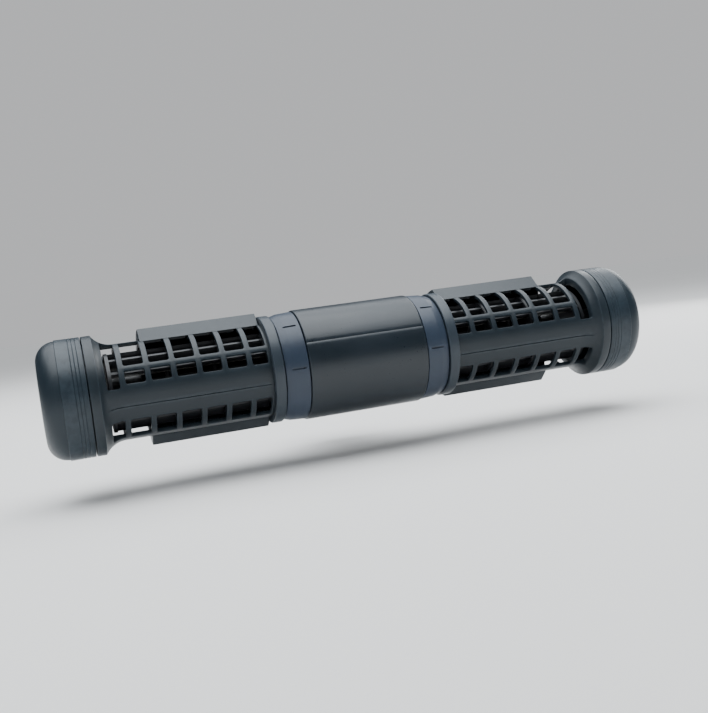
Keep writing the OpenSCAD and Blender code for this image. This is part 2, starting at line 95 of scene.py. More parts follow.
def rounded(corners, steps=4):  # corners are (x, y, radius), the outline is closed
    points = []
    for i, (x, y, radius) in enumerate(corners):
        here = Vector((x, y))
        toBefore = Vector(corners[i - 1][:2]) - here
        toAfter = Vector(corners[(i + 1) % len(corners)][:2]) - here
        if radius <= 0:
            points.append((x, y))
            continue
        half = toBefore.angle(toAfter) / 2
        reach = min(radius / math.tan(half), toBefore.length * 0.49, toAfter.length * 0.49)
        radius = reach * math.tan(half)
        inwards = (toBefore.normalized() + toAfter.normalized()).normalized()
        centre = here + inwards * (radius / math.sin(half))
        first = here + toBefore.normalized() * reach - centre
        last = here + toAfter.normalized() * reach - centre
        sweep = first.angle_signed(last)
        for k in range(steps + 1):
            turn = -sweep * k / steps
            c, s = math.cos(turn), math.sin(turn)
            points.append((centre.x + first.x * c - first.y * s, centre.y + first.x * s + first.y * c))
    return points


def arc(cx, cy, radius, start, end, steps):
    turns = [math.radians(start + (end - start) * k / steps) for k in range(steps + 1)]
    return [(cx + radius * math.cos(t), cy + radius * math.sin(t)) for t in turns]


def inset(points, amount):  # a closed outline moved inwards, or outwards if negative
    area = sum(points[i - 1][0] * p[1] - p[0] * points[i - 1][1] for i, p in enumerate(points))
    sign = 1 if area > 0 else -1
    moved = []
    for i, point in enumerate(points):
        here = Vector(point)
        before = (here - Vector(points[i - 1])).normalized()
        after = (Vector(points[(i + 1) % len(points)]) - here).normalized()
        normal = Vector((-before.y - after.y, before.x + after.x))
        normal.normalize()
        lean = max(0.4, abs(normal.dot(Vector((-after.y, after.x)))))
        moved.append(tuple(here + normal * (sign * amount / lean)))
    return moved


def bridge(bm, first, second, closed=True):
    count = max(len(first), len(second))
    for k in range(count if closed else count - 1):
        corners = [first[k % len(first)], first[(k + 1) % len(first)],
                   second[(k + 1) % len(second)], second[k % len(second)]]
        corners = list(dict.fromkeys(corners))
        if len(corners) > 2:
            bm.faces.new(corners)


def spin(bm, outline, place, steps=120, flute=None):  # turns a closed (along, radius) outline right round
    rings = []
    for along, radius in outline:
        if radius < 1e-4:
            rings.append([bm.verts.new(place(along, 0, 0))])
            continue
        ring = []
        for k in range(steps):
            angle = 360 * k / steps
            cut = flute(along, radius, angle) if flute else 0
            ring.append(bm.verts.new(place(along, radius - cut, angle)))
        rings.append(ring)
    for i, ring in enumerate(rings):
        following = rings[(i + 1) % len(rings)]
        if len(ring) > 1 or len(following) > 1:
            bridge(bm, ring, following)


def sweepPart(bm, outline, place, start, end, edge, steps=60):  # part of a turn, with its end edges rounded
    middle = sum(r for _, r in outline) / len(outline)
    turn = math.degrees(edge / middle)
    stations = [(start, edge), (start + turn * softShare, edge * softShare), (start + turn, 0)]
    stations += [(start + turn + (end - start - 2 * turn) * k / steps, 0) for k in range(1, steps)]
    stations += [(end - turn, 0), (end - turn * softShare, edge * softShare), (end, edge)]
    rings = []
    for angle, shrink in stations:
        rings.append([bm.verts.new(place(a, r, angle)) for a, r in inset(outline, shrink)])
    for before, after in zip(rings, rings[1:]):
        bridge(bm, before, after)
    bm.faces.new(rings[0])
    bm.faces.new(rings[-1])


def slab(bm, outline, low, high, put, edge):  # put takes (across, up, station); the rims are rounded
    rings = []
    for station, shrink in [(low, edge), (low + edge * softShare, edge * softShare), (low + edge, 0),
                            (high - edge, 0), (high - edge * softShare, edge * softShare), (high, edge)]:
        rings.append([bm.verts.new(put(a, b, station)) for a, b in inset(outline, shrink)])
    for before, after in zip(rings, rings[1:]):
        bridge(bm, before, after)
    bm.faces.new(rings[0])
    bm.faces.new(rings[-1])


def tidyMesh(bm):
    bmesh.ops.remove_doubles(bm, verts=bm.verts, dist=weldGap)
    bmesh.ops.dissolve_degenerate(bm, edges=bm.edges, dist=thinnest)
    bmesh.ops.recalc_face_normals(bm, faces=bm.faces)
    return bm


def combine(base, others, how):  # joins or cuts closed shapes
    def wrap(bm):
        mesh = bpy.data.meshes.new("work")
        tidyMesh(bm).to_mesh(mesh)
        bm.free()
        thing = bpy.data.objects.new("work", mesh)
        bpy.context.scene.collection.objects.link(thing)
        return thing

    body = wrap(base)
    tools = [wrap(other) for other in others]
    for tool in tools:
        step = body.modifiers.new("step", "BOOLEAN")
        step.operation = how
        step.solver = "EXACT"
        step.object = tool
    evaluated = body.evaluated_get(bpy.context.evaluated_depsgraph_get())
    result = bmesh.new()
    result.from_mesh(evaluated.to_mesh())
    evaluated.to_mesh_clear()
    for thing in [body] + tools:
        mesh = thing.data
        bpy.data.objects.remove(thing)
        bpy.data.meshes.remove(mesh)
    return result


wearFrom, wearGain = 0.05, 5  # how far a point stands out before its edge is painted paler, as wear and as a painted highlight, and how fast that grows


def markEdges(mesh):  # stores how far each point stands out, for the wear and the painted highlight on the edges
    out = [0.0] * len(mesh.vertices)
    count = [0] * len(mesh.vertices)
    for edge in mesh.edges:
        a, b = edge.vertices
        along = (mesh.vertices[b].co - mesh.vertices[a].co).normalized()
        out[a] -= along.dot(mesh.vertices[a].normal)
        out[b] += along.dot(mesh.vertices[b].normal)
        count[a] += 1
        count[b] += 1
    layer = mesh.attributes.new("standsOut", "FLOAT", "POINT")
    values = [min(1.0, max(0.0, (o / max(1, n) - wearFrom) * wearGain)) for o, n in zip(out, count)]
    layer.data.foreach_set("value", values)


def finishPiece(name, bm, body, nodes, slot, mirrored=False, keepSmooth=32):
    # nodes are the CAD nodes it stands in for; slot also names its finish
    tidyMesh(bm)
    for vert in bm.verts:
        vert.co *= mm
        if mirrored:
            vert.co.x = -vert.co.x
    bmesh.ops.recalc_face_normals(bm, faces=bm.faces)
    mesh = bpy.data.meshes.new(name)
    bm.to_mesh(mesh)
    bm.free()
    mesh.polygons.foreach_set("use_smooth", [True] * len(mesh.polygons))
    mesh.set_sharp_from_angle(angle=math.radians(keepSmooth))
    markEdges(mesh)
    mesh.materials.append(finishes[slot])
    piece = bpy.data.objects.new(name, mesh)
    bpy.context.scene.collection.objects.link(piece)
    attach(piece, body)
    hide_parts(*nodes)
    return piece


def newGroup(name, inputs, outputs):
    tree = bpy.data.node_groups.new(name, "ShaderNodeTree")
    for label, kind, value in inputs:
        socket = tree.interface.new_socket(name=label, in_out="INPUT", socket_type=kind)
        if value is not None:
            socket.default_value = value
    for label, kind in outputs:
        tree.interface.new_socket(name=label, in_out="OUTPUT", socket_type=kind)
    return tree, tree.nodes.new("NodeGroupInput").outputs, tree.nodes.new("NodeGroupOutput").inputs


def feed(tree, value, socket):  # a plain number is set, anything else is linked
    if isinstance(value, (int, float)):
        socket.default_value = value
    else:
        tree.links.new(value, socket)


def noise(tree, vector, scale, detail=3, rough=0.5):
    made = tree.nodes.new("ShaderNodeTexNoise")
    made.inputs["Detail"].default_value = detail
    made.inputs["Roughness"].default_value = rough
    tree.links.new(vector, made.inputs["Vector"])
    feed(tree, scale, made.inputs["Scale"])
    return made.outputs["Fac"]


def sums(tree, operation, first, second, clamp=False):
    made = tree.nodes.new("ShaderNodeMath")
    made.operation = operation
    made.use_clamp = clamp
    feed(tree, first, made.inputs[0])
    feed(tree, second, made.inputs[1])
    return made.outputs[0]


def times(tree, first, second, clamp=False):
    return sums(tree, "MULTIPLY", first, second, clamp)


def spread(tree, value, low, high, toLow=0.0, toHigh=1.0):
    made = tree.nodes.new("ShaderNodeMapRange")
    for label, number in (("From Min", low), ("From Max", high), ("To Min", toLow), ("To Max", toHigh)):
        made.inputs[label].default_value = number
    tree.links.new(value, made.inputs["Value"])
    return made.outputs["Result"]


def tint(tree, factor, first, second):
    made = tree.nodes.new("ShaderNodeMix")
    made.data_type = "RGBA"
    tree.links.new(factor, made.inputs[0])
    for socket, value in ((made.inputs[6], first), (made.inputs[7], second)):  # A and B as colours
        if isinstance(value, tuple):
            socket.default_value = (*value, 1)
        else:
            tree.links.new(value, socket)
    return made.outputs[2]


noiseRange = (0.3, 0.7)  # what a noise texture mostly stays between

grainLook = {"grain": 1400.0, "drift": 45.0, "coarser": 0.31, "fineShare": 0.65, "coarseShare": 0.35,
             "toneRange": (0.32, 0.68)}


def makeGrainGroup(look):  # spark-eroded mould texture: fine height, and a slow drift in tone
    tree, given, out = newGroup("mouldGrain", [("Vector", "NodeSocketVector", None),
                                               ("Grain", "NodeSocketFloat", look["grain"]),
                                               ("Drift", "NodeSocketFloat", look["drift"])],
                                [("Height", "NodeSocketFloat"), ("Tone", "NodeSocketFloat")])
    fine = noise(tree, given["Vector"], given["Grain"], 2, 0.6)
    coarse = noise(tree, given["Vector"], times(tree, given["Grain"], look["coarser"]), 2)
    fine, coarse = times(tree, fine, look["fineShare"]), times(tree, coarse, look["coarseShare"])
    tree.links.new(sums(tree, "ADD", fine, coarse), out["Height"])
    tone = noise(tree, given["Vector"], given["Drift"], 4)
    tree.links.new(spread(tree, tone, *look["toneRange"]), out["Tone"])
    return tree


wearLook = {"amount": 0.5, "breakup": 300.0, "patchRange": (0.36, 0.62), "least": 0.25}


def makeWearAndSheenGroup(look):  # edges painted paler, partly as rubbed wear and partly as a painted highlight where edges catch the light, broken up so that no edge is painted evenly
    tree, given, out = newGroup("edgeWearAndSheen", [("Vector", "NodeSocketVector", None),
                                             ("Amount", "NodeSocketFloat", look["amount"]),
                                             ("Breakup", "NodeSocketFloat", look["breakup"])],
                                [("Mask", "NodeSocketFloat")])
    stored = tree.nodes.new("ShaderNodeAttribute")
    stored.attribute_name = "standsOut"
    patches = noise(tree, given["Vector"], given["Breakup"], 4, 0.65)
    patches = spread(tree, patches, *look["patchRange"], look["least"], 1.0)
    wornAndSheen = times(tree, stored.outputs["Fac"], patches)
    tree.links.new(times(tree, wornAndSheen, given["Amount"], True), out["Mask"])
    return tree


filmLook = {"amount": 0.5, "size": 90.0, "smudgeRange": (0.48, 0.66), "finer": 6.0,
            "speckRange": (0.05, 0.11)}


def makeFilmGroup(look):  # dried water marks and handling smudges
    tree, given, out = newGroup("waterFilm", [("Vector", "NodeSocketVector", None),
                                              ("Amount", "NodeSocketFloat", look["amount"]),
                                              ("Size", "NodeSocketFloat", look["size"])],
                                [("Mask", "NodeSocketFloat"), ("Specks", "NodeSocketFloat")])
    smudge = noise(tree, given["Vector"], given["Size"], 5, 0.6)
    smudge = spread(tree, smudge, *look["smudgeRange"])
    tree.links.new(times(tree, smudge, given["Amount"], True), out["Mask"])
    dots = tree.nodes.new("ShaderNodeTexVoronoi")
    dots.inputs["Randomness"].default_value = 1.0
    tree.links.new(given["Vector"], dots.inputs["Vector"])
    tree.links.new(times(tree, given["Size"], look["finer"]), dots.inputs["Scale"])
    speck = spread(tree, dots.outputs["Distance"], *look["speckRange"], 1.0, 0.0)
    tree.links.new(times(tree, speck, times(tree, smudge, given["Amount"]), True), out["Specks"])
    return tree


grainGroup = makeGrainGroup(grainLook)
wearGroup = makeWearAndSheenGroup(wearLook)
filmGroup = makeFilmGroup(filmLook)


def placeGroup(tree, group, vector, **values):
    made = tree.nodes.new("ShaderNodeGroup")
    made.node_tree = group
    tree.links.new(vector, made.inputs["Vector"])
    for label, value in values.items():
        made.inputs[label].default_value = value
    return made.outputs


def startFinish(name):
    material = bpy.data.materials.new(name)
    material.use_nodes = True
    tree = material.node_tree
    where = tree.nodes.new("ShaderNodeTexCoord").outputs["Object"]
    return material, tree, tree.nodes["Principled BSDF"].inputs, where


def addBump(tree, shader, height, strength, distance):
    bump = tree.nodes.new("ShaderNodeBump")
    bump.inputs["Strength"].default_value = strength
    bump.inputs["Distance"].default_value = distance
    tree.links.new(height, bump.inputs["Height"])
    tree.links.new(bump.outputs["Normal"], shader["Normal"])


def plasticLook(deep, pale, rough, **changes):
    # deep and pale are the colours the tone drifts between
    # the paler edge colour and its amount below paint convex edges lighter, partly as wear and partly as a painted
    # highlight
    look = {"deep": deep, "pale": pale, "wornAndSheen": tuple(min(1, v * 2.2 + 0.02) for v in pale),
            "rough": rough, "smoother": 0.05, "rougher": 0.07,  # how far the grain moves the roughness
            "grain": 1500.0, "drift": 24.0, "grainDepth": 0.00015, "bump": 0.3, "shine": 0.5,
            "wear": 0.55, "breakup": 320.0, "wearShine": 0.1,
            "film": 0.3, "filmSize": 40.0, "filmMatt": 0.14, "speckHeight": 0.3,
            "filmColour": tuple(v * 1.12 + 0.001 for v in pale)}
    look.update(changes)
    return look


def mouldedFinish(name, look):  # textured injection-moulded plastic
    material, tree, shader, where = startFinish(name)
    grain = placeGroup(tree, grainGroup, where, Grain=look["grain"], Drift=look["drift"])
    wear = placeGroup(tree, wearGroup, where, Amount=look["wear"], Breakup=look["breakup"])
    film = placeGroup(tree, filmGroup, where, Amount=look["film"], Size=look["filmSize"])
    body = tint(tree, grain["Tone"], look["deep"], look["pale"])
    body = tint(tree, film["Mask"], body, look["filmColour"])
    # convex edges painted in the paler edge colour: partly wear, partly a painted highlight
    tree.links.new(tint(tree, wear["Mask"], body, look["wornAndSheen"]), shader["Base Color"])
    rough = spread(tree, grain["Height"], *noiseRange, look["rough"] - look["smoother"],
                   look["rough"] + look["rougher"])
    rough = sums(tree, "ADD", rough, times(tree, film["Mask"], look["filmMatt"]))
    rough = sums(tree, "SUBTRACT", rough, times(tree, wear["Mask"], look["wearShine"]), True)
    tree.links.new(rough, shader["Roughness"])
    height = sums(tree, "ADD", grain["Height"], times(tree, film["Specks"], look["speckHeight"]))
    addBump(tree, shader, height, look["bump"], look["grainDepth"])
    shader["Specular IOR Level"].default_value = look["shine"]
    return material


metalLook = {"filmSize": 140.0, "wear": 0.5, "breakup": 500.0, "smoother": 0.08, "rougher": 0.1,
             "filmMatt": 0.2, "bump": 0.25, "lineDepth": 0.0001}


def metalFinish(name, changes):  # ground or plated metal, with fine lines across it
    look = {**metalLook, **changes}
    material, tree, shader, where = startFinish(name)
    stretch = tree.nodes.new("ShaderNodeMapping")
    stretch.inputs["Scale"].default_value = look["stretch"]
    tree.links.new(where, stretch.inputs["Vector"])
    lines = noise(tree, stretch.outputs["Vector"], look["lines"], 4, 0.7)
    film = placeGroup(tree, filmGroup, where, Amount=look["film"], Size=look["filmSize"])
    wear = placeGroup(tree, wearGroup, where, Amount=look["wear"], Breakup=look["breakup"])
    body = tint(tree, spread(tree, lines, *noiseRange), look["deep"], look["pale"])
    body = tint(tree, film["Mask"], body, look["tarnish"])
    # convex edges painted in the bright colour: partly wear, partly a painted highlight
    tree.links.new(tint(tree, wear["Mask"], body, look["bright"]), shader["Base Color"])
    shader["Metallic"].default_value = 1.0
    rough = spread(tree, lines, *noiseRange, look["rough"] - look["smoother"],
                   look["rough"] + look["rougher"])
    rough = sums(tree, "ADD", rough, times(tree, film["Mask"], look["filmMatt"]), True)
    tree.links.new(rough, shader["Roughness"])
    addBump(tree, shader, lines, look["bump"], look["lineDepth"])
    return material


def ceramicFinish(name, look):
    material, tree, shader, where = startFinish(name)
    grain = placeGroup(tree, grainGroup, where, Grain=look["grain"], Drift=look["drift"])
    film = placeGroup(tree, filmGroup, where, Amount=look["film"], Size=look["filmSize"])
    body = tint(tree, grain["Tone"], look["deep"], look["pale"])
    tree.links.new(tint(tree, film["Mask"], body, look["stain"]), shader["Base Color"])
    tree.links.new(spread(tree, grain["Height"], *noiseRange, *look["rough"]), shader["Roughness"])
    addBump(tree, shader, grain["Height"], look["bump"], look["grainDepth"])
    shader["Coat Weight"].default_value = look["glaze"]
    return material


def windingFinish(name, look):  # enamelled wire lying in layers
    material, tree, shader, where = startFinish(name)
    wires = tree.nodes.new("ShaderNodeTexWave")
    wires.bands_direction = "DIAGONAL"
    wires.inputs["Scale"].default_value = look["wires"]
    wires.inputs["Distortion"].default_value = look["unevenness"]
    tree.links.new(where, wires.inputs["Vector"])
    grain = placeGroup(tree, grainGroup, where, Grain=look["grain"], Drift=look["drift"])
    body = tint(tree, wires.outputs["Fac"], look["deep"], look["pale"])
    tree.links.new(tint(tree, grain["Tone"], body, look["varnish"]), shader["Base Color"])
    tree.links.new(spread(tree, wires.outputs["Fac"], 0, 1, *look["rough"]), shader["Roughness"])
    addBump(tree, shader, wires.outputs["Fac"], look["bump"], look["wireDepth"])
    shader["Metallic"].default_value = look["metal"]
    return material


def boardFinish(name, look):  # solder mask over a woven laminate
    material, tree, shader, where = startFinish(name)
    weave = tree.nodes.new("ShaderNodeTexBrick")
    weave.inputs["Scale"].default_value = look["weave"]
    weave.inputs["Mortar Size"].default_value = look["gapSize"]
    for label, colour in (("Color1", "deep"), ("Color2", "pale"), ("Mortar", "gap")):
        weave.inputs[label].default_value = (*look[colour], 1)
    tree.links.new(where, weave.inputs["Vector"])
    film = placeGroup(tree, filmGroup, where, Amount=look["film"], Size=look["filmSize"])
    tree.links.new(tint(tree, film["Mask"], weave.outputs["Color"], look["flux"]), shader["Base Color"])
    tree.links.new(spread(tree, film["Mask"], 0, 1, *look["rough"]), shader["Roughness"])
    addBump(tree, shader, weave.outputs["Fac"], look["bump"], look["weaveDepth"])
    return material


def moulded(name, deep, pale, rough, **changes):
    return mouldedFinish(name, plasticLook(deep, pale, rough, **changes))


finishes = {
    "cage": moulded("cageFinish", (0.0105, 0.017, 0.0225), (0.0145, 0.0225, 0.0295), 0.37, shine=0.4),
    "guide": moulded("guideFinish", (0.018, 0.026, 0.033), (0.024, 0.033, 0.041), 0.38, shine=0.45),
    "collar": moulded("collarFinish", (0.023, 0.033, 0.044), (0.031, 0.043, 0.056), 0.36, shine=0.45),
    "cap": moulded("capFinish", (0.011, 0.0195, 0.027), (0.015, 0.025, 0.034), 0.38,
                   grain=1300.0, shine=0.4),
    "motor_shell": moulded("shellFinish", (0.0095, 0.0155, 0.0215), (0.013, 0.02, 0.0275), 0.31,
                           bump=0.18, drift=22.0),
    "band": moulded("bandFinish", (0.024, 0.036, 0.058), (0.032, 0.047, 0.073), 0.36, shine=0.45),
    "black_plastic": moulded("blackFinish", (0.011, 0.012, 0.013), (0.016, 0.017, 0.018), 0.5),
    "impeller": moulded("impellerFinish", (0.011, 0.012, 0.015), (0.017, 0.018, 0.021), 0.38),
    "mount_plastic": moulded("mountFinish", (0.017, 0.022, 0.027), (0.024, 0.03, 0.036), 0.42),
    "gland_rubber": moulded("glandFinish", (0.011, 0.011, 0.012), (0.017, 0.017, 0.018), 0.5, grain=1900.0),
    "seal_rubber": moulded("sealFinish", (0.011, 0.011, 0.012), (0.017, 0.017, 0.018), 0.6,
                           grain=2200.0, wear=0.15),
    "pad_rubber": moulded("padFinish", (0.015, 0.015, 0.016), (0.023, 0.023, 0.024), 0.64,
                          grain=1700.0, wear=0.2, film=0.4, bump=0.5),
    "ceramic": ceramicFinish("ceramicFinish", {
        "deep": (0.76, 0.72, 0.64), "pale": (0.86, 0.83, 0.76), "stain": (0.62, 0.57, 0.48),
        "grain": 900.0, "drift": 120.0, "film": 0.25, "filmSize": 160.0, "rough": (0.12, 0.24),
        "bump": 0.1, "grainDepth": 0.00005, "glaze": 0.4}),
    "magnet": metalFinish("magnetFinish", {
        "deep": (0.26, 0.26, 0.28), "pale": (0.4, 0.4, 0.42), "bright": (0.6, 0.6, 0.6),
        "tarnish": (0.2, 0.19, 0.18), "film": 0.5, "lines": 260.0, "stretch": (1, 1, 6), "rough": 0.36}),
    "laminations": metalFinish("laminationFinish", {
        "deep": (0.16, 0.17, 0.19), "pale": (0.4, 0.41, 0.43), "bright": (0.6, 0.6, 0.6),
        "tarnish": (0.2, 0.13, 0.09), "film": 0.6, "lines": 60.0, "stretch": (30, 1, 1), "rough": 0.42}),
    "winding": windingFinish("windingFinish", {
        "deep": (0.3, 0.1, 0.03), "pale": (0.7, 0.32, 0.12), "varnish": (0.5, 0.2, 0.06), "wires": 700.0,
        "unevenness": 1.5, "grain": 900.0, "drift": 80.0, "rough": (0.45, 0.25), "bump": 0.8,
        "wireDepth": 0.0002, "metal": 0.6}),
    "board": boardFinish("boardFinish", {
        "deep": (0.02, 0.12, 0.05), "pale": (0.03, 0.17, 0.07), "gap": (0.015, 0.09, 0.04),
        "flux": (0.2, 0.2, 0.1), "weave": 900.0, "gapSize": 0.06, "film": 0.3, "filmSize": 220.0,
        "rough": (0.3, 0.5), "bump": 0.3, "weaveDepth": 0.0001}),
    "stainless": metalFinish("stainlessFinish", {
        "deep": (0.36, 0.36, 0.37), "pale": (0.5, 0.5, 0.51), "bright": (0.62, 0.62, 0.62),
        "tarnish": (0.31, 0.3, 0.28), "film": 0.3, "lines": 500.0, "stretch": (1, 8, 1), "rough": 0.3}),
    "plate_steel": metalFinish("plateFinish", {
        "deep": (0.45, 0.46, 0.48), "pale": (0.6, 0.61, 0.63), "bright": (0.75, 0.75, 0.76),
        "tarnish": (0.35, 0.36, 0.3), "film": 0.4, "lines": 180.0, "stretch": (1, 1, 5), "rough": 0.34}),
}
print("finishes made:", len(finishes))

for subpart in frame["record"]["subparts"]:  # nodes that stay keep their shape and get their finish
    kept = frame["nodes"][subpart["node"]]
    kept.data.materials.clear()
    kept.data.materials.append(finishes[subpart["material_slot"]])


cageShape = {"firstRib": 52.5, "ribPitch": 10.8, "ribWidth": 2.4, "wall": 1.8,
             "flare": 8.9,             # length of the sweep up to the rim
             "rim": 4.0, "windowGap": 3.2,
             "corner": 0.85, "edge": 0.35,  # rounding of each window's corners and edges
             "step": 4.0,              # degrees between lines round the barrel
             "fineStep": 1.1, "wideStep": 3.2,  # between lines along the flare and along the barrel
             "headGap": 0.9, "tailGap": 0.8,    # from the first and last window to the plain ends
             "lugHeight": 1.4, "seat": 5.4, "rimWall": 3.4, "grooveStart": 0.6, "grooveEnd": 2.6,
             "firstGap": 1.2,          # from the collar to the first window
             "lip": 0.2, "rimEdge": 0.4, "rimNick": 0.12, "boreEdge": 0.3,
             "tallRow": 2, "tallStart": 7,  # the outermost window joins this row to the next
             "crease": (-14.6, 0.75, 0.32)}  # angle, half width in degrees, depth
# start and end of each row of cells, and of the windows in it
cageRows = [(-67, -29, -64, -32), (-29, 5, None, None), (5, 30.75, 11.5, 27.5), (30.75, 94, 34, 91),
            (94, 135.5, 97, 132.5), (135.5, 177, 138.5, 174), (177, 218.5, 180, 215.5),
            (218.5, 260, 221.5, 257), (260, 293, None, None)]


def cageMesh(shape):
    cageLow, cageHigh = boxOf("right_cage")
    start, end = cageLow[0], cageHigh[0]
    rimRadius = (cageHigh[2] - cageLow[2]) / 2
    barrel = barrelRadius
    inner = barrel - shape["wall"]
    rimStart = end - shape["rim"]
    flareStart = rimStart - shape["flare"]
    rise = rimRadius - barrel
    sweep = shape["flare"] / math.sin(2 * math.atan(rise / shape["flare"]))
    corner, edge = shape["corner"], shape["edge"]
    perDegree = math.radians(barrel)  # millimetres round the barrel in one degree
    creaseAngle, creaseHalf, creaseDepth = shape["crease"]
    offCrease = 999           # stands for any angle away from the crease
    bore = rimRadius - shape["rimWall"]
    columns = []
    lastEnd = rimStart - shape["windowGap"]
    count = round((lastEnd - shape["firstRib"]) / shape["ribPitch"]) + 1
    for i in range(count):
        rib = shape["firstRib"] + i * shape["ribPitch"]
        low = max(rib - shape["ribPitch"] + shape["ribWidth"] / 2, collarEnd + shape["firstGap"])
        high = min(rib - shape["ribWidth"] / 2, lastEnd)
        columns.append((low, high))
    borders = [columns[0][0] - shape["headGap"]]
    borders += [(columns[i][1] + columns[i + 1][0]) / 2 for i in range(count - 1)]
    borders.append(columns[-1][1] + shape["tailGap"])

    def outerRadius(x, angle):
        radius = barrel
        if x > flareStart:
            reach = min(x, rimStart) - flareStart
            radius = barrel + sweep - math.sqrt(sweep * sweep - reach * reach)
        if abs(angle - creaseAngle) < 0.01 and borders[0] + 0.5 < x < borders[-1] - 0.5:
            radius -= creaseDepth
        return radius

    # lines across one cell, gathered at a window's corners; most is the widest step
    def linesFor(start, end, low, high, rounding, most):
        if low is None:
            parts = max(2, math.ceil((end - start) / most))
            return [start + (end - start) * k / parts for k in range(parts + 1)]
        inside = [low + rounding, high - rounding]
        parts = max(2, math.ceil((inside[1] - inside[0]) / most))
        middle = [inside[0] + (inside[1] - inside[0]) * k / parts for k in range(parts + 1)]
        return [start, (start + low) / 2] + middle + [(end + high) / 2, end]

    rowLines = []
    for first, last, low, high in cageRows:
        lines = linesFor(first, last, low, high, corner / perDegree, shape["step"])
        if low is None and first < creaseAngle < last:
            lines = [v for v in lines if abs(v - creaseAngle) > creaseHalf * 1.6]
            lines = sorted(lines + [creaseAngle - creaseHalf, creaseAngle, creaseAngle + creaseHalf])
        rowLines.append(lines)
    columnLines = []
    for i, (low, high) in enumerate(columns):
        most = shape["fineStep"] if high > flareStart else shape["wideStep"]
        columnLines.append(linesFor(borders[i], borders[i + 1], low, high, corner, most))

    bm = bmesh.new()

    # where a point of the cell's border lands on the window's rounded outline
    def windowPoint(side, k, count, own, window, grow):
        a0, a1, b0, b1 = window
        centres = [(a0 + corner, b0 + corner), (a1 - corner, b0 + corner),
                   (a1 - corner, b1 - corner), (a0 + corner, b1 - corner)]
        here, there = Vector(centres[side]), Vector(centres[(side + 1) % 4])
        reach = corner + grow
        if k < 2 or k > count - 2:
            turn = 225 + 90 * side + 22.5 * k if k < 2 else 315 + 90 * side - 22.5 * (count - k)
            centre = here if k < 2 else there
            return centre + Vector((math.cos(math.radians(turn)), math.sin(math.radians(turn)))) * reach
        run = there - here
        share = min(1, max(0, (own - here).dot(run) / run.length_squared))
        share = 0 if k == 2 else 1 if k == count - 2 else share
        return here + run * share + Vector((run.y, -run.x)).normalized() * reach

    def windowCell(xs, angles, window):  # from the outer face, through the window, to the inner face
        along = [a * perDegree for a in angles]
        nx, nt = len(xs) - 1, len(angles) - 1
        border = [(0, k, nx, xs[k], along[0]) for k in range(nx)]
        border += [(1, k, nt, xs[-1], along[k]) for k in range(nt)]
        border += [(2, k, nx, xs[nx - k], along[-1]) for k in range(nx)]
        border += [(3, k, nt, xs[0], along[nt - k]) for k in range(nt)]
        rings = [[onPump(x, outerRadius(x, s / perDegree), s / perDegree) for _, _, _, x, s in border]]
        loops = [(edge, 0, 0), (edge * softShare, edge * softShare, 0), (0, edge, 0), (0, edge, 1),
                 (edge * softShare, edge * softShare, 1), (edge, 0, 1)]
        for grow, depth, within in loops:
            ring = []
            for side, k, n, x, s in border:
                point = windowPoint(side, k, n, Vector((x, s)), window, grow)
                radius = inner + depth if within else outerRadius(point.x, offCrease) - depth
                ring.append(onPump(point.x, radius, point.y / perDegree))
            rings.append(ring)
        rings.append([onPump(x, inner, s / perDegree) for _, _, _, x, s in border])
        made = [[bm.verts.new(p) for p in ring] for ring in rings]
        for before, after in zip(made, made[1:]):
            bridge(bm, before, after)

    def plainCell(xs, angles):
        for radiusAt in (outerRadius, lambda x, angle: inner):
            made = [[bm.verts.new(onPump(x, radiusAt(x, a), a)) for a in angles] for x in xs]
            for before, after in zip(made, made[1:]):
                bridge(bm, before, after, closed=False)

    for i, xs in enumerate(columnLines):
        skip = 0
        for j, (first, last, low, high) in enumerate(cageRows):
            if skip:
                skip -= 1
                continue
            if low is None:
                plainCell(xs, rowLines[j])
            elif i == count - 1 and j == shape["tallRow"]:  # this window takes two rows
                top = cageRows[j + 1][3]
                windowCell(xs, rowLines[j] + rowLines[j + 1][1:],
                           (*columns[i], shape["tallStart"] * perDegree, top * perDegree))
                skip = 1
            else:
                windowCell(xs, rowLines[j], (*columns[i], low * perDegree, high * perDegree))

    allLines = rowLines[0][:]
    for lines in rowLines[1:]:
        allLines += lines[1:]
    lip, rimEdge, nick = shape["lip"], shape["rimEdge"], shape["rimNick"]
    head = [(borders[0], barrel), (start + lip, barrel), (start, barrel - lip), (start, inner + lip),
            (start + lip, inner), (borders[0], inner)]
    seatX = end - shape["seat"]
    grooveRadius = bore + shape["lugHeight"]
    tail = [(borders[-1], outerRadius(borders[-1], offCrease))]
    tailSteps = 6
    for k in range(1, tailSteps + 1):
        x = borders[-1] + (rimStart - borders[-1]) * k / tailSteps
        tail.append((x, outerRadius(x, offCrease)))
    grooveStart, grooveEnd = rimStart + shape["grooveStart"], rimStart + shape["grooveEnd"]
    boreEdge = shape["boreEdge"]
    tail += [(rimStart + 0.35, rimRadius), (end - rimEdge, rimRadius), (end - nick, rimRadius - nick),
             (end, rimRadius - rimEdge), (end, bore + boreEdge), (end - boreEdge, bore), (grooveEnd, bore),
             (grooveEnd, grooveRadius), (grooveStart, grooveRadius), (grooveStart, bore), (seatX, bore),
             (seatX, inner + lip), (seatX - lip, inner), (borders[-1], inner)]
    for strip in (head, tail):
        made = [[bm.verts.new(onPump(x, r, a)) for a in allLines] for x, r in strip]
        for before, after in zip(made, made[1:]):
            bridge(bm, before, after, closed=False)
    return bm


collarLow, collarHigh = boxOf("right_lock_collar")
collarEnd = collarHigh[0]
barrelRadius = 21.0

guideShape = {"wall": 1.8, "endWall": 1.6, "edge": 0.45,
              "topLip": ((-4.5, 20.5), (2.0, 26.2)),   # (back, up) from the axis, foot and full height
              "lowLip": ((-2.0, -20.9), (3.0, -25.0)),
              "gap": 0.05, "lipShift": 1.35,  # the pocket's lips stand back by this many walls
              "pocketEdge": 0.3}


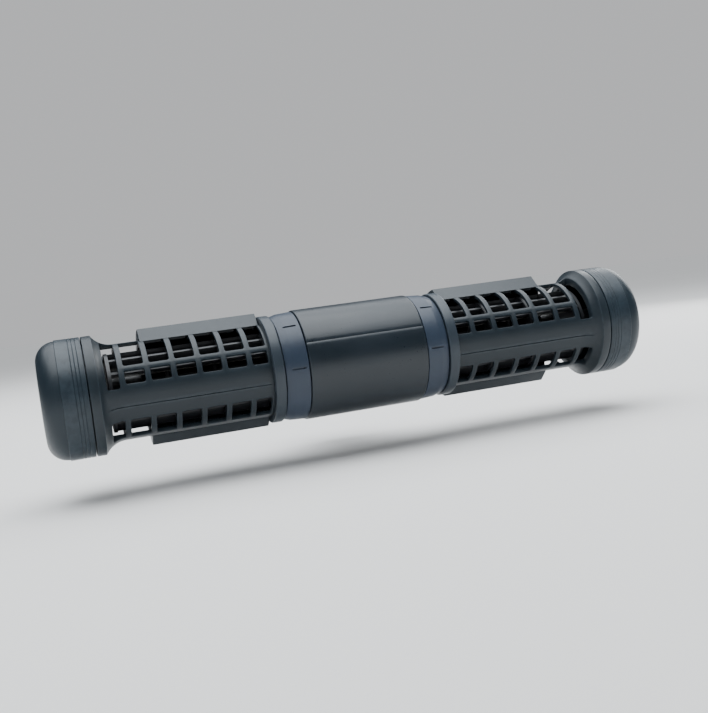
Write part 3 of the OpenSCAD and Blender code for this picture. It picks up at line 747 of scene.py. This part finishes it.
def guideOutline(outer, inner, shift, shape, steps=72):
    # closed outline of what lies behind both lips between two radii
    def crossing(lip, radius):  # the angle at which a lip's line meets the radius
        (y0, z0), (y1, z1) = lip
        y0, y1 = y0 + shift, y1 + shift
        dy, dz = y1 - y0, z1 - z0
        a, b, c = dy * dy + dz * dz, y0 * dy + z0 * dz, y0 * y0 + z0 * z0 - radius * radius
        t = (-b + math.sqrt(b * b - a * c)) / a
        return math.degrees(math.atan2(z0 + dz * t, -(y0 + dy * t)))

    top, low = crossing(shape["topLip"], outer), crossing(shape["lowLip"], outer) + 360
    topIn, lowIn = crossing(shape["topLip"], inner), crossing(shape["lowLip"], inner) + 360
    outline = [(outer, top + (low - top) * k / steps) for k in range(steps + 1)]
    outline += [(inner, lowIn + (topIn - lowIn) * k / steps) for k in range(steps + 1)]
    return [(-r * math.cos(math.radians(a)), r * math.sin(math.radians(a))) for r, a in outline]


def alongPump(back, up, station):
    return Vector((station, axisY + back, up))


def guideMesh(shape):
    low, high = boxOf("right_flow_guide")
    wall, endWall = shape["wall"], shape["endWall"]
    outside = bmesh.new()
    outline = guideOutline(capRadius, barrelRadius + shape["gap"], 0, shape)
    slab(outside, outline, low[0], high[0], alongPump, shape["edge"])
    pocket = bmesh.new()
    outline = guideOutline(capRadius - wall, barrelRadius - 1, wall * shape["lipShift"], shape)
    slab(pocket, outline, low[0] + endWall, high[0] - endWall, alongPump, shape["pocketEdge"])
    return combine(outside, [pocket], "DIFFERENCE")


capLow, capHigh = boxOf("right_end_cap")
capRadius = capHigh[2]

capShape = {"wall": 2.2, "round": 8.5, "step": 0.4, "spigot": 22.2, "spigotWall": 1.6,
            "lines": (2.2, 3.7, 5.2),        # fine grooves round the cap, from its inner edge
            "lineDepth": 0.16, "lineHalf": 0.22, "innerGap": 5.3, "innerWall": 2.6,
            "edge": 0.35, "nick": 0.1, "spigotEdge": 0.25, "shoulderGap": 0.15, "shoulderNick": 0.12,
            "dishInset": 5.0, "dishDepth": 0.35, "dishSlope": 0.5}


def capMesh(shape):
    spigotStart, end = capLow[0], capHigh[0]
    start = spigotStart + shape["innerGap"]
    roundX = end - shape["round"]
    inRadius = capRadius - shape["wall"]
    edge, nick, turn = shape["edge"], shape["nick"], shape["round"]
    outline = [(start, shape["spigot"]), (start, capRadius - edge), (start + nick, capRadius - nick),
               (start + edge, capRadius)]
    for line in shape["lines"]:
        x = start + line
        outline += [(x - shape["lineHalf"], capRadius), (x, capRadius - shape["lineDepth"]),
                    (x + shape["lineHalf"], capRadius)]
    shoulder = capRadius - shape["step"]
    outline += [(roundX - shape["shoulderGap"], capRadius), (roundX, capRadius - shape["shoulderNick"]),
                (roundX + 0.05, shoulder)]
    outline += arc(roundX, shoulder - turn, turn, 90, 0, 18)[1:]
    dish, depth = shoulder - turn - shape["dishInset"], shape["dishDepth"]
    outline += [(end, dish), (end - nick, dish - depth), (end - depth, dish - shape["dishSlope"]),
                (end - depth, 0), (end - shape["wall"], 0)]
    outline += arc(roundX, shoulder - turn, turn - shape["wall"] + shape["step"], 0, 90, 10)
    inner, soft = shape["spigot"] - shape["spigotWall"], shape["spigotEdge"]
    outline += [(start + shape["innerWall"], inRadius), (start + shape["innerWall"], inner),
                (spigotStart + soft, inner), (spigotStart, inner + soft),
                (spigotStart, shape["spigot"] - soft), (spigotStart + soft, shape["spigot"])]
    bm = bmesh.new()
    spin(bm, outline, onPump, steps=144)
    return bm


collarShape = {"edge": 0.6, "bore": 21.0, "cageFit": 0.05, "lugHeight": 1.2, "seat": 2.0,
               "grooveStart": 0.8, "grooveWidth": 1.6}
bandShape = {"inner": 22.55, "drop": (0.5, 0.9, 1.9), "bend": 3.6, "edge": 0.3,
             "marks": (49, 0), "markLength": 6.2, "markWidth": 1.0, "markFloor": 1.4, "markStart": 1.6,
             "markEdge": 0.12}


def collarMesh(shape):
    x0, x1 = collarLow[0], collarHigh[0]
    radius = collarHigh[2]
    groove = x0 + shape["grooveStart"]
    grooveEnd = groove + shape["grooveWidth"]
    seat = x1 - shape["seat"] - shape["cageFit"]
    bore, seatRadius = shape["bore"], barrelRadius + shape["cageFit"]
    outline = rounded([(x0, bore, 0.2), (x0, radius, shape["edge"]), (x1, radius, shape["edge"]),
                       (x1, seatRadius, 0.15), (seat, seatRadius, 0), (seat, bore, 0),
                       (grooveEnd, bore, 0), (grooveEnd, bore + shape["lugHeight"], 0),
                       (groove, bore + shape["lugHeight"], 0), (groove, bore, 0)])
    bm = bmesh.new()
    spin(bm, outline, onPump, steps=144)
    return bm


def bandMesh(shape):
    low, high = boxOf("right_index_band")
    x0, x1 = low[0], high[0]
    outline = rounded([(x0, shape["inner"], 0), (x0, motorRadius - shape["drop"][0], shape["edge"]),
                       (x1 - shape["bend"], motorRadius - shape["drop"][1], 1.5),
                       (x1, motorRadius - shape["drop"][2], shape["edge"]), (x1, shape["inner"], 0)])
    bm = bmesh.new()
    spin(bm, outline, onPump, steps=144)
    cutters = []
    half = shape["markWidth"] / 2
    for mark in shape["marks"]:
        cutter = bmesh.new()
        place = radial(0, mark)
        first = x0 + shape["markStart"]
        last = first + shape["markLength"]
        corners = ((first, -half), (last, -half), (last, half), (first, half))
        ends = rounded([(x, y, half * 0.9) for x, y in corners])

        def put(a, b, station, place=place):
            return place(station, math.hypot(a, b), math.degrees(math.atan2(b, a)))

        slab(cutter, ends, motorRadius - shape["markFloor"], motorRadius + 2, put, shape["markEdge"])
        cutters.append(cutter)
    return combine(bm, cutters, "DIFFERENCE")


shellHigh = boxOf("motor_front_shell")[1]
motorRadius = 25.1
shellShape = {"inner": 22.55, "bevel": 0.7, "seam": 25, "seamGap": 0.14, "seamEdge": 0.22,
              "screwX": 21, "screwAngles": (128, 232), "recess": 2.5, "recessDepth": 1.3,
              "screwHead": 2.3, "screwLength": 3, "recessEdge": 0.15, "chamferDepth": 0.3, "chamfer": 0.7,
              "glandX": 22.5, "glandAngle": 150, "glandHole": 3.4,
              "bossFoot": 1.6, "bossRadius": 4.9, "bossHeight": 2.0, "bossFlare": 1.3, "bossEdge": 0.35}


def shellHalf(shape, start, end):
    outline = rounded([(-shellHigh[0], shape["inner"], 0), (-shellHigh[0], motorRadius, shape["bevel"]),
                       (shellHigh[0], motorRadius, shape["bevel"]), (shellHigh[0], shape["inner"], 0)], 5)
    bm = bmesh.new()
    gap = shape["seamGap"]
    sweepPart(bm, outline, onPump, start + gap, end - gap, shape["seamEdge"], steps=64)
    return bm


def screwCutters(shape, angles):  # a chamfered recess for each screw head
    cutters = []
    floor, lip, radius = motorRadius - shape["recessDepth"], motorRadius + 0.4, shape["recess"]
    edge = shape["recessEdge"]
    for x in (-shape["screwX"], shape["screwX"]):
        for angle in angles:
            cutter = bmesh.new()
            outline = [(floor, 0), (floor, radius - edge), (floor + edge, radius),
                       (motorRadius - shape["chamferDepth"], radius), (lip, radius + shape["chamfer"]),
                       (lip, 0)]
            spin(cutter, outline, radial(x, angle), steps=48)
            cutters.append(cutter)
    return cutters


def frontShellMesh(shape):
    shell = shellHalf(shape, shape["seam"] - 180, shape["seam"])
    return combine(shell, screwCutters(shape, shape["screwAngles"][1:]), "DIFFERENCE")


def rearShellMesh(shape):
    shell = shellHalf(shape, shape["seam"], shape["seam"] + 180)
    boss = bmesh.new()
    foot, top = motorRadius - shape["bossFoot"], motorRadius + shape["bossHeight"]
    radius, flare, edge = shape["bossRadius"], shape["bossFlare"], shape["bossEdge"]
    place = radial(shape["glandX"], shape["glandAngle"])
    outline = [(foot, 0), (foot, radius + flare + 0.6)]
    outline += [(motorRadius + flare - flare * math.sin(t) - 0.5, radius + flare - flare * math.cos(t))
                for t in [math.radians(90 - 15 * k) for k in range(7)]]
    outline += [(top - edge, radius), (top - 0.1, radius - 0.1), (top, radius - edge), (top, 0)]
    spin(boss, outline, place, steps=64)
    shell = combine(shell, [boss], "UNION")
    bore = bmesh.new()
    hole = shape["glandHole"]
    spin(bore, [(foot - 3, 0), (foot - 3, hole), (top + 1, hole), (top + 1, 0)], place, steps=48)
    return combine(shell, [bore] + screwCutters(shape, shape["screwAngles"][:1]), "DIFFERENCE")


glandShape = {"outer": 4.7, "bore": 2.9, "seat": 27.7, "tip": 34.6, "chamfer": 1.3,
              "flutes": 12, "fluteDepth": 0.32, "fluteStart": 1.25, "fluteEnd": 0.9,
              "flange": 1.1, "flangeStep": 0.18, "spigot": 3.35, "spigotFoot": 23.5}
sealShape = {"foot": 27.1, "inner": 3.4, "outer": 4.6, "innerEdge": 0.1, "outerEdge": 0.2}


def glandMesh(shape):
    outer, bore, seat, tip = shape["outer"], shape["bore"], shape["seat"], shape["tip"]
    outline = rounded([(shape["spigotFoot"], bore, 0.1), (shape["spigotFoot"], shape["spigot"], 0.1),
                       (seat, shape["spigot"], 0), (seat, outer, 0.25), (seat + shape["flange"], outer, 0.2),
                       (seat + shape["flange"] + 0.2, outer - shape["flangeStep"], 0),
                       (tip - 1.6, outer - 0.05, 0.4), (tip, outer - shape["chamfer"] + 0.3, 0.35),
                       (tip, bore + 0.5, 0.2), (tip - 0.7, bore, 0.1)])

    def flute(along, radius, angle):
        if not seat + shape["fluteStart"] < along < tip - shape["fluteEnd"] or radius < outer - 1:
            return 0
        return shape["fluteDepth"] * (0.5 - 0.5 * math.cos(math.radians(angle * shape["flutes"]))) ** 2

    bm = bmesh.new()
    spin(bm, outline, radial(shellShape["glandX"], shellShape["glandAngle"]), steps=144, flute=flute)
    return bm


def glandSealMesh(shape):
    foot, top, inner, outer = shape["foot"], glandShape["seat"], shape["inner"], shape["outer"]
    outline = rounded([(foot, inner, shape["innerEdge"]), (foot, outer, shape["outerEdge"]),
                       (top, outer, shape["outerEdge"]), (top, inner, shape["innerEdge"])])
    bm = bmesh.new()
    spin(bm, outline, radial(shellShape["glandX"], shellShape["glandAngle"]), steps=96)
    return bm


screwShape = {"socket": 1.1, "socketDepth": 0.6, "socketEdge": 0.12, "head": 1.2, "shank": 1.2,
              "shankEdge": 0.2, "seatEdge": 0.1, "edge": 0.3}


def addScrew(bm, place, base, headRadius, length, shape):
    # the socket is six-sided, so rings inside it follow a hexagon
    steps = 48

    def hexagon(angle):
        lean = (angle % 60) - 30
        return math.cos(math.radians(30)) / math.cos(math.radians(lean))

    top, tip = base + shape["head"], base - length
    floor = top - shape["socketDepth"]
    edge, seatEdge, shankEdge = shape["edge"], shape["seatEdge"], shape["shankEdge"]
    shank, socket, socketEdge = shape["shank"], shape["socket"], shape["socketEdge"]
    profile = [(tip, 0, False), (tip, shank - shankEdge, False), (tip + shankEdge, shank, False),
               (base, shank, False), (base, headRadius - seatEdge, False),
               (base + seatEdge, headRadius, False), (top - edge, headRadius, False),
               (top - edge * softShare, headRadius - edge * softShare, False),
               (top, headRadius - edge, False), (top, socket + socketEdge, True),
               (top - socketEdge, socket, True), (floor, socket, True), (floor - 0.1, socket * 0.55, True),
               (floor - 0.12, 0, True)]
    rings = []
    for along, radius, six in profile:
        if radius == 0:
            rings.append([bm.verts.new(place(along, 0, 0))])
            continue
        angles = [360 * k / steps for k in range(steps)]
        rings.append([bm.verts.new(place(along, radius * (hexagon(a) if six else 1), a)) for a in angles])
    for before, after in zip(rings, rings[1:]):
        bridge(bm, before, after)


def screwsMesh(shape, base):  # four screws, at both distances and both angles
    bm = bmesh.new()
    for x in (-shape["screwX"], shape["screwX"]):
        for angle in shape["screwAngles"]:
            addScrew(bm, radial(x, angle), base, shape["screwHead"], shape["screwLength"], screwShape)
    return bm


bracketShape = {"halfWidth": 15, "halfAngle": 38, "inner": 25.15, "outer": 27.4, "edge": 0.5,
                "sideRound": 0.8, "endEdge": 0.7, "earStart": 9.1, "earEnd": 13.3, "earRoot": 0.9,
                "knuckle": 4.5, "pinHole": 2.06, "web": 7.2, "webFoot": 0.7, "webTop": 3.0,
                "screwX": 5, "screwAngles": (150, 210), "screwHead": 2.2, "screwLength": 3.8,
                "screwHole": 1.3}


def knuckleOutline(foot, radius, way, steps=28):
    # foot is the lower side, from its root to the knuckle; the upper side mirrors it
    turns = [math.pi * k / steps for k in range(steps + 1)]
    around = [(pinY + way * radius * math.sin(t), -radius * math.cos(t)) for t in turns]
    return foot + around + [(y, -z) for y, z in reversed(foot)]


def pinBore(radius):
    bore = bmesh.new()
    spin(bore, [(-30, 0), (-30, radius), (30, radius), (30, 0)], onPin, steps=64)
    return bore


def acrossX(y, z, station):
    return Vector((station, y, z))


def bracketMesh(shape):
    saddle = bmesh.new()
    half, side = shape["halfWidth"], shape["sideRound"]
    outline = rounded([(-half, shape["inner"], 0), (-half, shape["outer"], side),
                       (half, shape["outer"], side), (half, shape["inner"], 0)])
    sweepPart(saddle, outline, onPump, 180 - shape["halfAngle"], 180 + shape["halfAngle"], shape["endEdge"],
              steps=48)
    knuckle, flare = shape["knuckle"], shape["web"]
    root, surface = axisY + shape["inner"] + shape["earRoot"], axisY + shape["outer"]
    webTop = surface + shape["webTop"]
    foot = [(root, -flare), (surface - shape["webFoot"], -flare), (webTop - 1.4, -knuckle - 0.55),
            (webTop, -knuckle)]
    ears = []
    for side in (-1, 1):
        ear = bmesh.new()
        ends = sorted((side * shape["earStart"], side * shape["earEnd"]))
        slab(ear, knuckleOutline(foot, knuckle, 1), ends[0], ends[1], acrossX, shape["edge"])
        ears.append(ear)
    body = combine(saddle, ears, "UNION")
    cutters = [pinBore(shape["pinHole"])]
    hole = shape["screwHole"]
    for x in (-shape["screwX"], shape["screwX"]):
        for angle in shape["screwAngles"]:
            cutter = bmesh.new()
            spin(cutter, [(20, 0), (20, hole), (30, hole), (30, 0)], radial(x, angle), steps=32)
            cutters.append(cutter)
    return combine(body, cutters, "DIFFERENCE")


pinShape = {"radius": 2.0, "tipEdge": 0.4, "head": 3.3, "headStart": 13.5, "headLength": 1.2,
            "groove": 0.4, "grooveStart": 0.2, "grooveEnd": 1.1}
clipShape = {"outer": 3.4, "inner": 2.18, "tooth": 0.5, "toothRise": 0.55, "gap": 34, "teethFrom": 40,
             "edge": 0.12}


def pinMesh(shape):
    low, high = pinLow[0], pinHigh[0]
    start = shape["headStart"]
    radius, groove = shape["radius"], shape["radius"] - shape["groove"]
    grooveLow, grooveHigh = -start - shape["grooveEnd"], -start - shape["grooveStart"]
    outline = rounded([(low, 0, 0), (low, radius, shape["tipEdge"]), (grooveLow, radius, 0.05),
                       (grooveLow, groove, 0), (grooveHigh, groove, 0), (grooveHigh, radius, 0.05),
                       (start, radius, 0), (start, shape["head"], 0.25),
                       (start + shape["headLength"], shape["head"], 0.5), (high, 0, 0)])
    bm = bmesh.new()
    spin(bm, outline, onPin, steps=72)
    return bm


def clipMesh(shape):  # an open spring ring with three inner teeth
    low, high = boxOf("pin_clip")
    gap, inner, tooth, first = shape["gap"], shape["inner"], shape["tooth"], shape["teethFrom"]
    outline = arc(0, 0, shape["outer"], gap / 2, 360 - gap / 2, 60)
    for k in range(61):
        angle = 360 - gap / 2 - (360 - gap) * k / 60
        turn, bite = math.radians(angle), 0
        if first < angle < 360 - first:
            bite = min(tooth, shape["toothRise"] * max(0, math.sin(math.radians(angle * 3 - 90))) ** 0.5)
        outline.append(((inner - bite) * math.cos(turn), (inner - bite) * math.sin(turn)))

    def place(a, b, station):
        return Vector((station, pinY + b, -a))

    bm = bmesh.new()
    slab(bm, outline, low[0], high[0], place, shape["edge"])
    return bm


housingShape = {"depth": 14, "edge": 4.0, "wall": 2.1, "footEdge": 0.3, "lineStart": 1.2, "lineEnd": 1.8,
                "dishRim": 2.2, "dishDepth": 0.25, "floor": 2.8,
                "grip": 36, "gripDepth": 0.35,  # how many flutes round the cup, and their depth
                "lug": 8.8, "lugEdge": 0.5, "knuckle": 4.5, "pinHole": 2.02,
                # how far ahead of the cup and beyond the knuckle each corner of the lug's foot lies
                "lugFoot": ((-1.4, 2.4), (0.3, 2.4), (0.8, 1.4), (1.6, 0.5), (2.8, 0))}
padShape = {"edge": 0.6, "rings": (6.5, 10.0, 13.5, 17.0), "ringHalf": 0.5, "ringDepth": 0.45}


def housingMesh(shape):
    low, high = boxOf("magnet_housing")
    radius = high[0]
    back, front = -high[1], padDepth + shape["depth"]
    edge, wall, footEdge = shape["edge"], shape["wall"], shape["footEdge"]
    lineStart, lineEnd = back + shape["lineStart"], back + shape["lineEnd"]
    outline = [(back, radius - wall), (back, radius - footEdge), (back + footEdge, radius),
               (lineStart, radius), (lineStart + 0.3, radius - 0.3), (lineEnd, radius)]
    outline += [(lineEnd + k * (front - edge - lineEnd) / 4, radius) for k in range(1, 4)]
    outline += [(front - edge * (1 - math.sin(t)), radius - edge * (1 - math.cos(t)))
                for t in [math.radians(9 * k) for k in range(11)]]
    dish, floor = front - shape["dishDepth"], front - shape["floor"]
    outline += [(front, radius - edge - shape["dishRim"]), (dish, radius - edge - shape["dishRim"] - 0.3),
                (dish, 0), (floor, 0), (floor, radius - wall)]

    def grip(along, r, angle):
        if not back + 3 < along < front - edge * 0.7 or r < radius - 0.6:
            return 0
        ease = min(1, (along - back - 2.9) / 2, (front - edge * 0.6 - along) / 2)
        return shape["gripDepth"] * ease * max(0, math.cos(math.radians(angle * shape["grip"]))) ** 2

    cup = bmesh.new()
    spin(cup, outline, onGlass, steps=288, flute=grip)
    knuckle = shape["knuckle"]
    foot = [(-front - ahead, -knuckle - beyond) for ahead, beyond in shape["lugFoot"]]
    lug = bmesh.new()
    slab(lug, knuckleOutline(foot, knuckle, -1), -shape["lug"], shape["lug"], acrossX, shape["lugEdge"])
    return combine(combine(cup, [lug], "UNION"), [pinBore(shape["pinHole"])], "DIFFERENCE")


def padMesh(shape):
    low, high = boxOf("glass_pad")
    radius, depth = high[0], -low[1]
    outline = [(0, 0)]
    for ring in shape["rings"]:
        outline += [(0, ring - shape["ringHalf"]), (shape["ringDepth"], ring - shape["ringHalf"] * 0.4),
                    (shape["ringDepth"], ring + shape["ringHalf"] * 0.4), (0, ring + shape["ringHalf"])]
    edge = shape["edge"]
    outline += [(0, radius - edge), (edge * softShare, radius - edge * softShare), (edge, radius),
                (depth - 0.2, radius), (depth, radius - 0.2), (depth, 0)]
    bm = bmesh.new()
    spin(bm, outline, onGlass, steps=144)
    return bm


padDepth = -boxOf("glass_pad")[0][1]

for side in ("left", "right"):
    mirrored = side == "left"
    finishPiece(f"{side}CageShell", cageMesh(cageShape), f"{side}_cage", [f"{side}_cage"], "cage", mirrored)
    finishPiece(f"{side}GuideShell", guideMesh(guideShape), f"{side}_cage", [f"{side}_flow_guide"], "guide",
                mirrored)
    finishPiece(f"{side}CollarRing", collarMesh(collarShape), f"{side}_cage", [f"{side}_lock_collar"],
                "collar", mirrored)
    finishPiece(f"{side}CapShell", capMesh(capShape), f"{side}_cap", [f"{side}_end_cap"], "cap", mirrored)
    finishPiece(f"{side}IndexRing", bandMesh(bandShape), "motor", [f"{side}_index_band"], "band", mirrored)
print("pump sides made")

finishPiece("frontShell", frontShellMesh(shellShape), "motor", ["motor_front_shell"], "motor_shell")
finishPiece("rearShell", rearShellMesh(shellShape), "motor", ["motor_rear_shell"], "motor_shell")
finishPiece("glandNut", glandMesh(glandShape), "motor", ["cable_gland"], "gland_rubber")
finishPiece("glandWasher", glandSealMesh(sealShape), "motor", ["gland_seal"], "seal_rubber")
shellScrewSeat = motorRadius - shellShape["recessDepth"]
finishPiece("shellScrewSet", screwsMesh(shellShape, shellScrewSeat), "motor", ["shell_screws"], "stainless")
bracketScrewSeat = bracketShape["outer"]
finishPiece("bracketScrewSet", screwsMesh(bracketShape, bracketScrewSeat), "motor", ["bracket_screws"],
            "stainless")
finishPiece("tiltSaddle", bracketMesh(bracketShape), "motor", ["tilt_bracket"], "mount_plastic")
print("motor made")

finishPiece("hingeRod", pinMesh(pinShape), "mount", ["hinge_pin"], "stainless")
finishPiece("rodClip", clipMesh(clipShape), "mount", ["pin_clip"], "stainless")
finishPiece("magnetCup", housingMesh(housingShape), "mount", ["magnet_housing"], "mount_plastic")
finishPiece("gripPad", padMesh(padShape), "mount", ["glass_pad"], "pad_rubber")
print("mount made")


stageShape = {"floorHalf": 12.0, "clearance": 2.0, "floorColour": (0.83, 0.81, 0.79),
              "floorShade": 0.985, "floorGrain": 400.0, "floorDrift": 2.0,
              "backdrop": (0.56, 0.567, 0.58), "bounce": (0.75, 0.85, 1.0), "bounceStrength": 0.07,
              "softboxSize": 1.5, "softboxUp": 0.75, "softboxBack": 0.22, "softboxPower": 19.0,
              "softboxColour": (0.9, 0.955, 1.0), "skyPower": 2.1, "skyAngle": 60,
              "skyFrom": (0, 0, 2), "skyAim": (0, 0.15, 0), "skyColour": (0.92, 0.965, 1.0),
              "fillPower": 0.2, "fillFrom": (-0.7, -0.9, 0.12), "fillColour": (0.93, 0.96, 1.0),
              "rimPower": 4.0, "rimFrom": (0.8, 0.5, 0.4), "rimColour": (0.95, 0.98, 1.0),
              "lampSize": 0.5}


def makeFloor(shape):
    tilt = next(joint for joint in frame["joints"] if joint["name"] == "pump_tilt")
    steepest = math.radians(max(abs(v) for v in tilt["range_deg"]))
    reach = (pinY - axisY) * math.sin(steepest) + capRadius  # how low the pump comes at full tilt
    floorZ = -(reach + shape["clearance"]) * mm
    mesh = bpy.data.meshes.new("floor")
    half = shape["floorHalf"]
    corners = [(-half, -half), (half, -half), (half, half), (-half, half)]
    mesh.from_pydata([(x, y, floorZ) for x, y in corners], [], [(0, 1, 2, 3)])
    floor = bpy.data.objects.new("floor", mesh)
    bpy.context.scene.collection.objects.link(floor)
    material, tree, shader, where = startFinish("floorPaint")
    grain = placeGroup(tree, grainGroup, where, Grain=shape["floorGrain"], Drift=shape["floorDrift"])
    colour = shape["floorColour"]
    darker = tuple(v * shape["floorShade"] for v in colour)
    tree.links.new(tint(tree, grain["Tone"], darker, colour), shader["Base Color"])
    shader["Roughness"].default_value = 1.0
    shader["Specular IOR Level"].default_value = 0.0
    mesh.materials.append(material)


def addLight(name, kind, where, aim, power, colour):
    light = bpy.data.lights.new(name, kind)
    light.energy = power
    light.color = colour
    lamp = bpy.data.objects.new(name, light)
    lamp.location = where
    lamp.rotation_euler = (Vector(aim) - Vector(where)).to_track_quat("-Z", "Y").to_euler()
    bpy.context.scene.collection.objects.link(lamp)
    return light


def makeLights(shape):
    middle = (0, axisY * mm, 0)
    back = axisY * mm + shape["softboxBack"]
    softbox = addLight("softbox", "AREA", (0, back, shape["softboxUp"]), (0, back, 0), shape["softboxPower"],
                       shape["softboxColour"])
    softbox.size = shape["softboxSize"]
    sky = addLight("sky", "SUN", shape["skyFrom"], shape["skyAim"], shape["skyPower"], shape["skyColour"])
    sky.angle = math.radians(shape["skyAngle"])
    fill = addLight("fill", "AREA", shape["fillFrom"], middle, shape["fillPower"], shape["fillColour"])
    fill.size = shape["lampSize"]
    rim = addLight("rim", "AREA", shape["rimFrom"], middle, shape["rimPower"], shape["rimColour"])
    rim.size = shape["lampSize"]
    world = bpy.data.worlds.new("studio")
    world.use_nodes = True
    tree = world.node_tree
    bounce = tree.nodes["Background"]
    bounce.inputs["Color"].default_value = (*shape["bounce"], 1)
    bounce.inputs["Strength"].default_value = shape["bounceStrength"]
    backdrop = tree.nodes.new("ShaderNodeBackground")
    backdrop.inputs["Color"].default_value = (*shape["backdrop"], 1)
    seen = tree.nodes.new("ShaderNodeLightPath")
    either = tree.nodes.new("ShaderNodeMixShader")  # the camera sees the backdrop, surfaces see the bounce
    sources = (seen.outputs["Is Camera Ray"], bounce.outputs[0], backdrop.outputs[0])
    for socket, source in zip(either.inputs, sources):
        tree.links.new(source, socket)
    tree.links.new(either.outputs[0], tree.nodes["World Output"].inputs["Surface"])
    bpy.context.scene.world = world


makeFloor(stageShape)
makeLights(stageShape)

cameraShape = {"distance": 0.46, "lens": 50, "aimX": 0.0,
               "side": -16.5, "lift": 3.5, "roll": 7.6}  # in degrees


def makeCamera(shape):
    side, lift = math.radians(shape["side"]), math.radians(shape["lift"])
    away = Vector((math.sin(side) * math.cos(lift), -math.cos(side) * math.cos(lift), math.sin(lift)))
    aim = Vector((shape["aimX"], axisY * mm, 0))
    camera = bpy.data.objects.new("camera", bpy.data.cameras.new("camera"))
    camera.data.lens = shape["lens"]
    camera.location = aim + away * shape["distance"]
    turned = (-away).to_track_quat("-Z", "Y").to_matrix().to_4x4()
    camera.rotation_euler = (turned @ Matrix.Rotation(math.radians(-shape["roll"]), 4, "Z")).to_euler()
    camera.data.clip_start = 0.01
    bpy.context.scene.collection.objects.link(camera)
    bpy.context.scene.camera = camera


makeCamera(cameraShape)
print("stage made")
